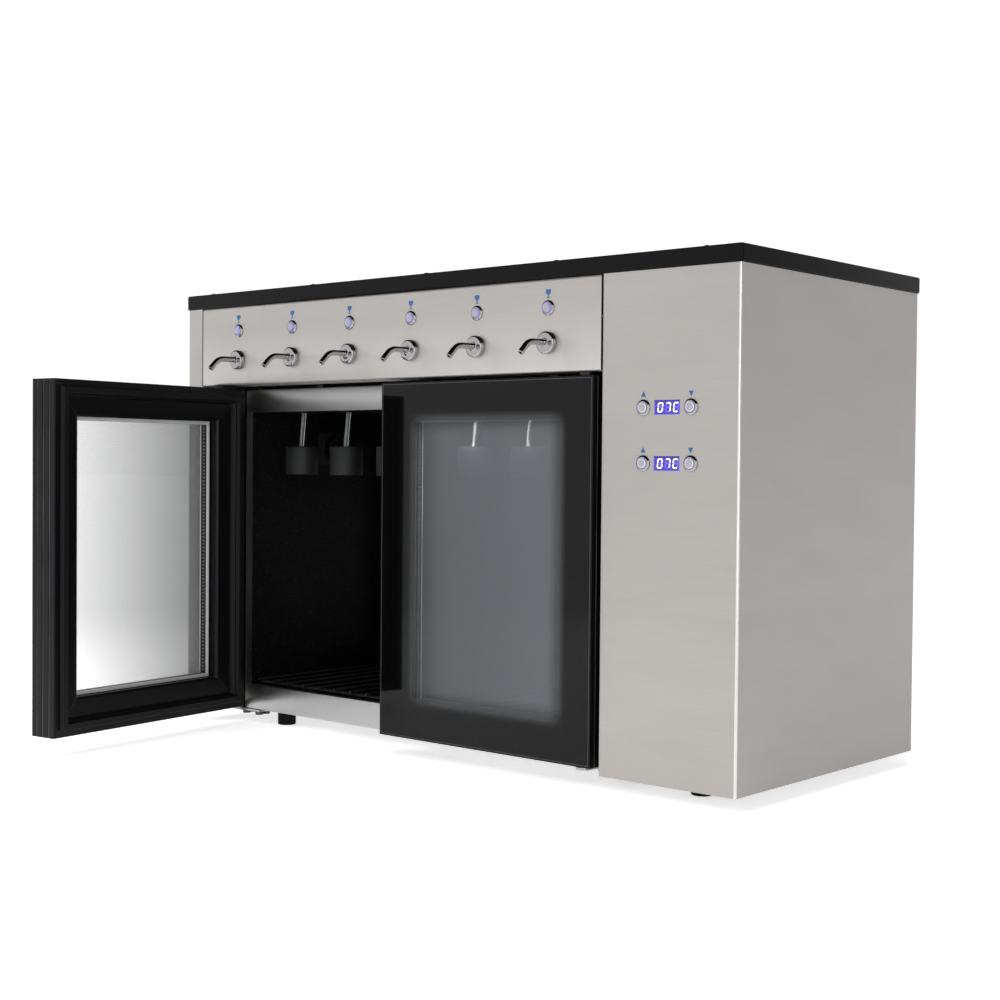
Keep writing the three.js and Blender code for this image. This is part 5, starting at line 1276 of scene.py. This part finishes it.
width, height, depth = INLET_SIZE
inlet = (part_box("right_side_panel")[1].x + INLET_CENTRE[0] * MM, INLET_CENTRE[1] * MM)
cup = bmesh.new()
loops = []
# the cup's outline at its back, under its rim, round the rim and down the hollow inside
for size, y in ((0.2, -depth + 0.4), (0.2, 0.6), (-1.6, 1.2), (2.4, 1.2), (2.4, -depth + 1.4)):
    outline = rounded(inlet, width - size, height - size, 2.5)
    loops.append([cup.verts.new((x, back_plane + y * MM, z)) for x, z in outline])
for first, second in zip(loops, loops[1:]):
    bridge(cup, first, second)
cup.faces.new(loops[0])
cup.faces.new(loops[-1])
object_of("inlet_cup", cup, moulded_black, "cabinet", 40)
for number, (x, z) in enumerate(((-7, -1.5), (0, 3), (7, -1.5)), 1):
    pin = bmesh.new()
    at = (inlet[0] + x * MM, inlet[1] + z * MM)
    base = back_plane - (depth - 1) * MM
    add_prism(pin, rounded(at, 2, 4, 0.5), base, base + 7 * MM)
    add_prism(pin, rounded(at, 2, 4, 0.5), base + 7 * MM, base + 8 * MM, 0.6)
    object_of(f"inlet_pin_{number}", pin, bright_steel, "cabinet", 40)
print("back plane at y =", round(back_plane, 5), "with", number, "inlet pins")

# %% [markdown]
# ## Spacers between the panes
# A hollow aluminium bar runs round between the two panes and keeps them apart. Its face
# is blackened, with a row of small holes that let the drying beads inside it breathe, and
# along its two lips, where they meet the glass, a nearly white line is a painted highlight.
# At the free side the bar stands further in, as the printed border is wider there. Each
# door's bar is mitred at the corners, made in the door's own directions and swung out
# with the door.

# %% Spacer bars in both doors
SPACER_INSET, SPACER_DEPTH = (47.2, 51.6), (4.5, 17.7)
SPACER_FREE = 58.5  # the inner edge's inset at the free side, in mm
SPACER_LIP, HOLE, HOLE_PITCH = 1.3, 1.8, 5.0


def spacer_finish(side):
    made, tree, shader = material(f"blackened_spacer_{side}", "#141415", Roughness=0.4)
    reach, depth, height = door_directions(tree, side)
    near, far = SPACER_DEPTH
    # a painted highlight along each lip where it meets the glass
    near_lip = inside(tree, (depth, (near - 0.1) * MM, (near + SPACER_LIP) * MM))
    far_lip = inside(tree, (depth, (far - SPACER_LIP) * MM, (far + 0.1) * MM))
    lip_highlights = add(tree, "ShaderNodeMath", (near_lip, far_lip), operation="MAXIMUM").outputs[0]
    along = add(tree, "ShaderNodeMath", (reach, height), operation="ADD").outputs[0]
    step = add(tree, "ShaderNodeMath", (along, HOLE_PITCH * MM), operation="MODULO").outputs[0]
    holes = inside(
        tree,
        (step, (HOLE_PITCH - HOLE) / 2 * MM, (HOLE_PITCH + HOLE) / 2 * MM),
        (depth, (near + far - HOLE) / 2 * MM, (near + far + HOLE) / 2 * MM),
    )
    shown = add(tree, "ShaderNodeMath", (holes, 0.45), operation="MULTIPLY").outputs[0]
    highlight_and_holes = add(tree, "ShaderNodeMath", (lip_highlights, shown), operation="MAXIMUM").outputs[0]
    shades = {"Factor": highlight_and_holes, 6: linear("#161617"), 7: linear("#F0F1F0")}
    fill(tree, shader, {
        "Base Color": add(tree, "ShaderNodeMix", shades, data_type="RGBA").outputs[2],
        "Metallic": add(tree, "ShaderNodeMath", (lip_highlights, 0.15), operation="MULTIPLY").outputs[0],
    })
    return made


def spacer_piece(side):
    """A mitred ring of rectangular section, built closed and swung to the door's rest angle."""
    pin, open_degrees, hand = DOORS[side]
    swing = Matrix.Rotation(math.radians(-open_degrees), 4, "Z")
    mesh = bmesh.new()
    rings = []
    outer, inner = SPACER_INSET
    near, far = SPACER_DEPTH
    for inset, free, depth in (
        (outer, outer, near), (inner, SPACER_FREE, near),
        (inner, SPACER_FREE, far), (outer, outer, far),
    ):
        reaches = (inset, DOOR_WIDTH - free)
        heights = (door_low.z + inset * MM, door_high.z - inset * MM)
        ring = []
        for reach, height in (
            (reaches[0], heights[0]), (reaches[1], heights[0]),
            (reaches[1], heights[1]), (reaches[0], heights[1]),
        ):
            closed = Vector((hand * (reach - PIN_TO_EDGE) * MM, (depth - PIN_DEPTH) * MM, 0))
            place = swing @ closed + Vector((*pin, height))
            ring.append(mesh.verts.new(place))
        rings.append(ring)
    for first, second in zip(rings, rings[1:] + rings[:1]):
        bridge(mesh, first, second)
    return object_of(f"pane_spacer_{side}", mesh, spacer_finish(side), f"{side}_door", 30)


spacers = [spacer_piece(side) for side in DOORS]
print("spacers:", [round(spacer.dimensions.z / MM, 1) for spacer in spacers], "mm high")

# %% [markdown]
# ## Feet
# Four black rubber feet screw into the base: plain round plugs with a rounded tread. They
# aren't symmetric: the right ones stand nearer their side, under the heavy machine. They
# could be left to the base plate's material, which is black there, but the turned pieces
# give the tread its round edge and hide the facets.

# %% Rubber feet
FOOT_RADIUS, FOOT_HEIGHT, TREAD_ROUND, SUNK = 12.95, 18.0, 1.6, 0.6
FOOT_INSET = {"left": 141, "right": 90, "front": 70, "back": 70}  # from the cabinet's faces
base_low, base_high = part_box("left_side_panel")[0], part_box("right_side_panel")[1]
feet_x = {
    "left": base_low.x + FOOT_INSET["left"] * MM,
    "right": base_high.x - FOOT_INSET["right"] * MM,
}
feet_y = {
    "front": front_plane + FOOT_INSET["front"] * MM,
    "back": base_high.y - FOOT_INSET["back"] * MM,
}
tread_edge = FOOT_RADIUS - TREAD_ROUND
for side, x in feet_x.items():
    for row, y in feet_y.items():
        foot = bmesh.new()
        tread = [(0, 0.02), (tread_edge, 0.02)]
        for step in range(1, 7):
            bend = math.radians(15 * step)
            out, risen = math.sin(bend) * TREAD_ROUND, (1 - math.cos(bend)) * TREAD_ROUND
            tread.append((tread_edge + out, 0.02 + risen))
        tread += [(FOOT_RADIUS, FOOT_HEIGHT + SUNK), (0, FOOT_HEIGHT + SUNK)]
        add_turned(foot, tread, Vector((x, y, 0)), UPWARDS, 48)
        object_of(f"rubber_foot_{row}_{side}", foot, foot_rubber, "cabinet", 50)
print("feet at x", [round(x, 4) for x in feet_x.values()], "y", [round(y, 4) for y in feet_y.values()])

# %% [markdown]
# ## Lit digits
# The displays show a temperature in three seven-segment figures, leaning a little to the
# right. Segments that are off still show faintly against the window. Each segment is a
# bar with pointed ends; all the lit ones make one thin piece and the others another.

# %% Seven-segment figures
DIGIT_WIDTH, DIGIT_HEIGHT, STROKE, GAP, LEAN = 5.8, 9.8, 1.35, 0.22, 0.1
DIGIT_PITCH, DIGIT_SHIFT = 10.6, 1.0  # between two figures, and of the row to the right
SEGMENTS = {
    "a": ((0, 1), (1, 1)),
    "b": ((1, 1), (1, 0.5)),
    "c": ((1, 0.5), (1, 0)),
    "d": ((0, 0), (1, 0)),
    "e": ((0, 0.5), (0, 0)),
    "f": ((0, 1), (0, 0.5)),
    "g": ((0, 0.5), (1, 0.5)),
}
FIGURES = ("abcdef", "abc", "adef")


def add_segment(mesh, start, end, origin, thickness):
    """A bar with pointed ends, standing out of the window by its thickness."""
    start, end = Vector(start), Vector(end)
    along = (end - start).normalized()
    half = Vector((-along.y, along.x)) * STROKE / 2
    shoulder = along * (GAP + STROKE / 2)
    outline = [
        start + along * GAP,
        start + shoulder + half,
        end - shoulder + half,
        end - along * GAP,
        end - shoulder - half,
        start + shoulder - half,
    ]
    layers = []
    for depth in (0.02, -thickness):
        corners = [origin + Vector((p.x + LEAN * p.y, depth, p.y)) * MM for p in outline]
        layers.append([mesh.verts.new(corner) for corner in corners])
        mesh.faces.new(layers[-1])
    bridge(mesh, *layers)


def figures(row):
    low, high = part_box(f"display_{row}")
    face = Vector(((low.x + high.x) / 2, low.y, (low.z + high.z) / 2))
    for state, finish, thickness in (("lit", lit_segment, 0.16), ("unlit", unlit_segment, 0.1)):
        mesh = bmesh.new()
        for place, shown in enumerate(FIGURES):
            left_edge = (place - 1) * DIGIT_PITCH + DIGIT_SHIFT - DIGIT_WIDTH / 2
            origin = face + Vector((left_edge, 0, -DIGIT_HEIGHT / 2)) * MM
            for key, (start, end) in SEGMENTS.items():
                if (key in shown) == (state == "lit"):
                    corners = [(x * DIGIT_WIDTH, z * DIGIT_HEIGHT) for x, z in (start, end)]
                    add_segment(mesh, *corners, origin, thickness)
        object_of(f"{state}_segments_{row}", mesh, finish, "cabinet", 30)


for row in ("upper", "lower"):
    figures(row)
print("figures:", len(FIGURES) * 2)

# %% [markdown]
# ## Printed signs
# Blue signs are screen-printed on the steel: a wine glass over each pouring button, and
# triangles over the setting buttons. Ink lies on the metal as a film a few hundredths of
# a millimetre thick, so each sign is a thin plate cut to its outline, lifted just enough
# to be a surface of its own.

# %% Wine glasses and triangles
GLASS_ABOVE, ARROW_ABOVE = 17.5, 15.0  # the signs' middles above their buttons' centres
ink = mottled("blue_screen_ink", "#154E7C", "#1F5C8C", 0.8, (0.35, 0.5), 0.05, IOR=1.45)


def plate(name, outline, at, finish, thickness=0.06):
    """A thin plate of that outline, in mm, on the front plane."""
    mesh = bmesh.new()
    layers = []
    for depth in (0.01, thickness):
        layers.append([mesh.verts.new(at + Vector((x, -depth, z)) * MM) for x, z in outline])
        mesh.faces.new(layers[-1])
    bridge(mesh, *layers)
    return object_of(name, mesh, finish, "cabinet", 30)


def glass_outline():
    """Half of a wine glass from its foot to its rim, mirrored to a whole."""
    half = [(3.1, -5.8), (2.9, -5.1), (0.9, -4.7), (0.75, -2.2), (1.8, -1.6), (3.3, -0.2)]
    half += [(4.1, 1.5), (4.1, 3.0), (3.5, 4.5)]
    return half + [(-x, z) for x, z in reversed(half)]


for number in TAP_NUMBERS:
    at = button_centres[f"dispense_button_{number}"] + Vector((0, 0, GLASS_ABOVE * MM))
    plate(f"printed_glass_{number}", glass_outline(), at, ink)
for row in ("upper", "lower"):
    for way, sign in (("up", 1), ("down", -1)):
        at = button_centres[f"{way}_button_{row}"] + Vector((0, 0, ARROW_ABOVE * MM))
        arrow = [(-3.5, -2.8 * sign), (3.5, -2.8 * sign), (0.25, 3.2 * sign), (-0.25, 3.2 * sign)]
        plate(f"printed_{way}_arrow_{row}", arrow, at, ink)
print("signs: 6 glasses and 4 triangles")
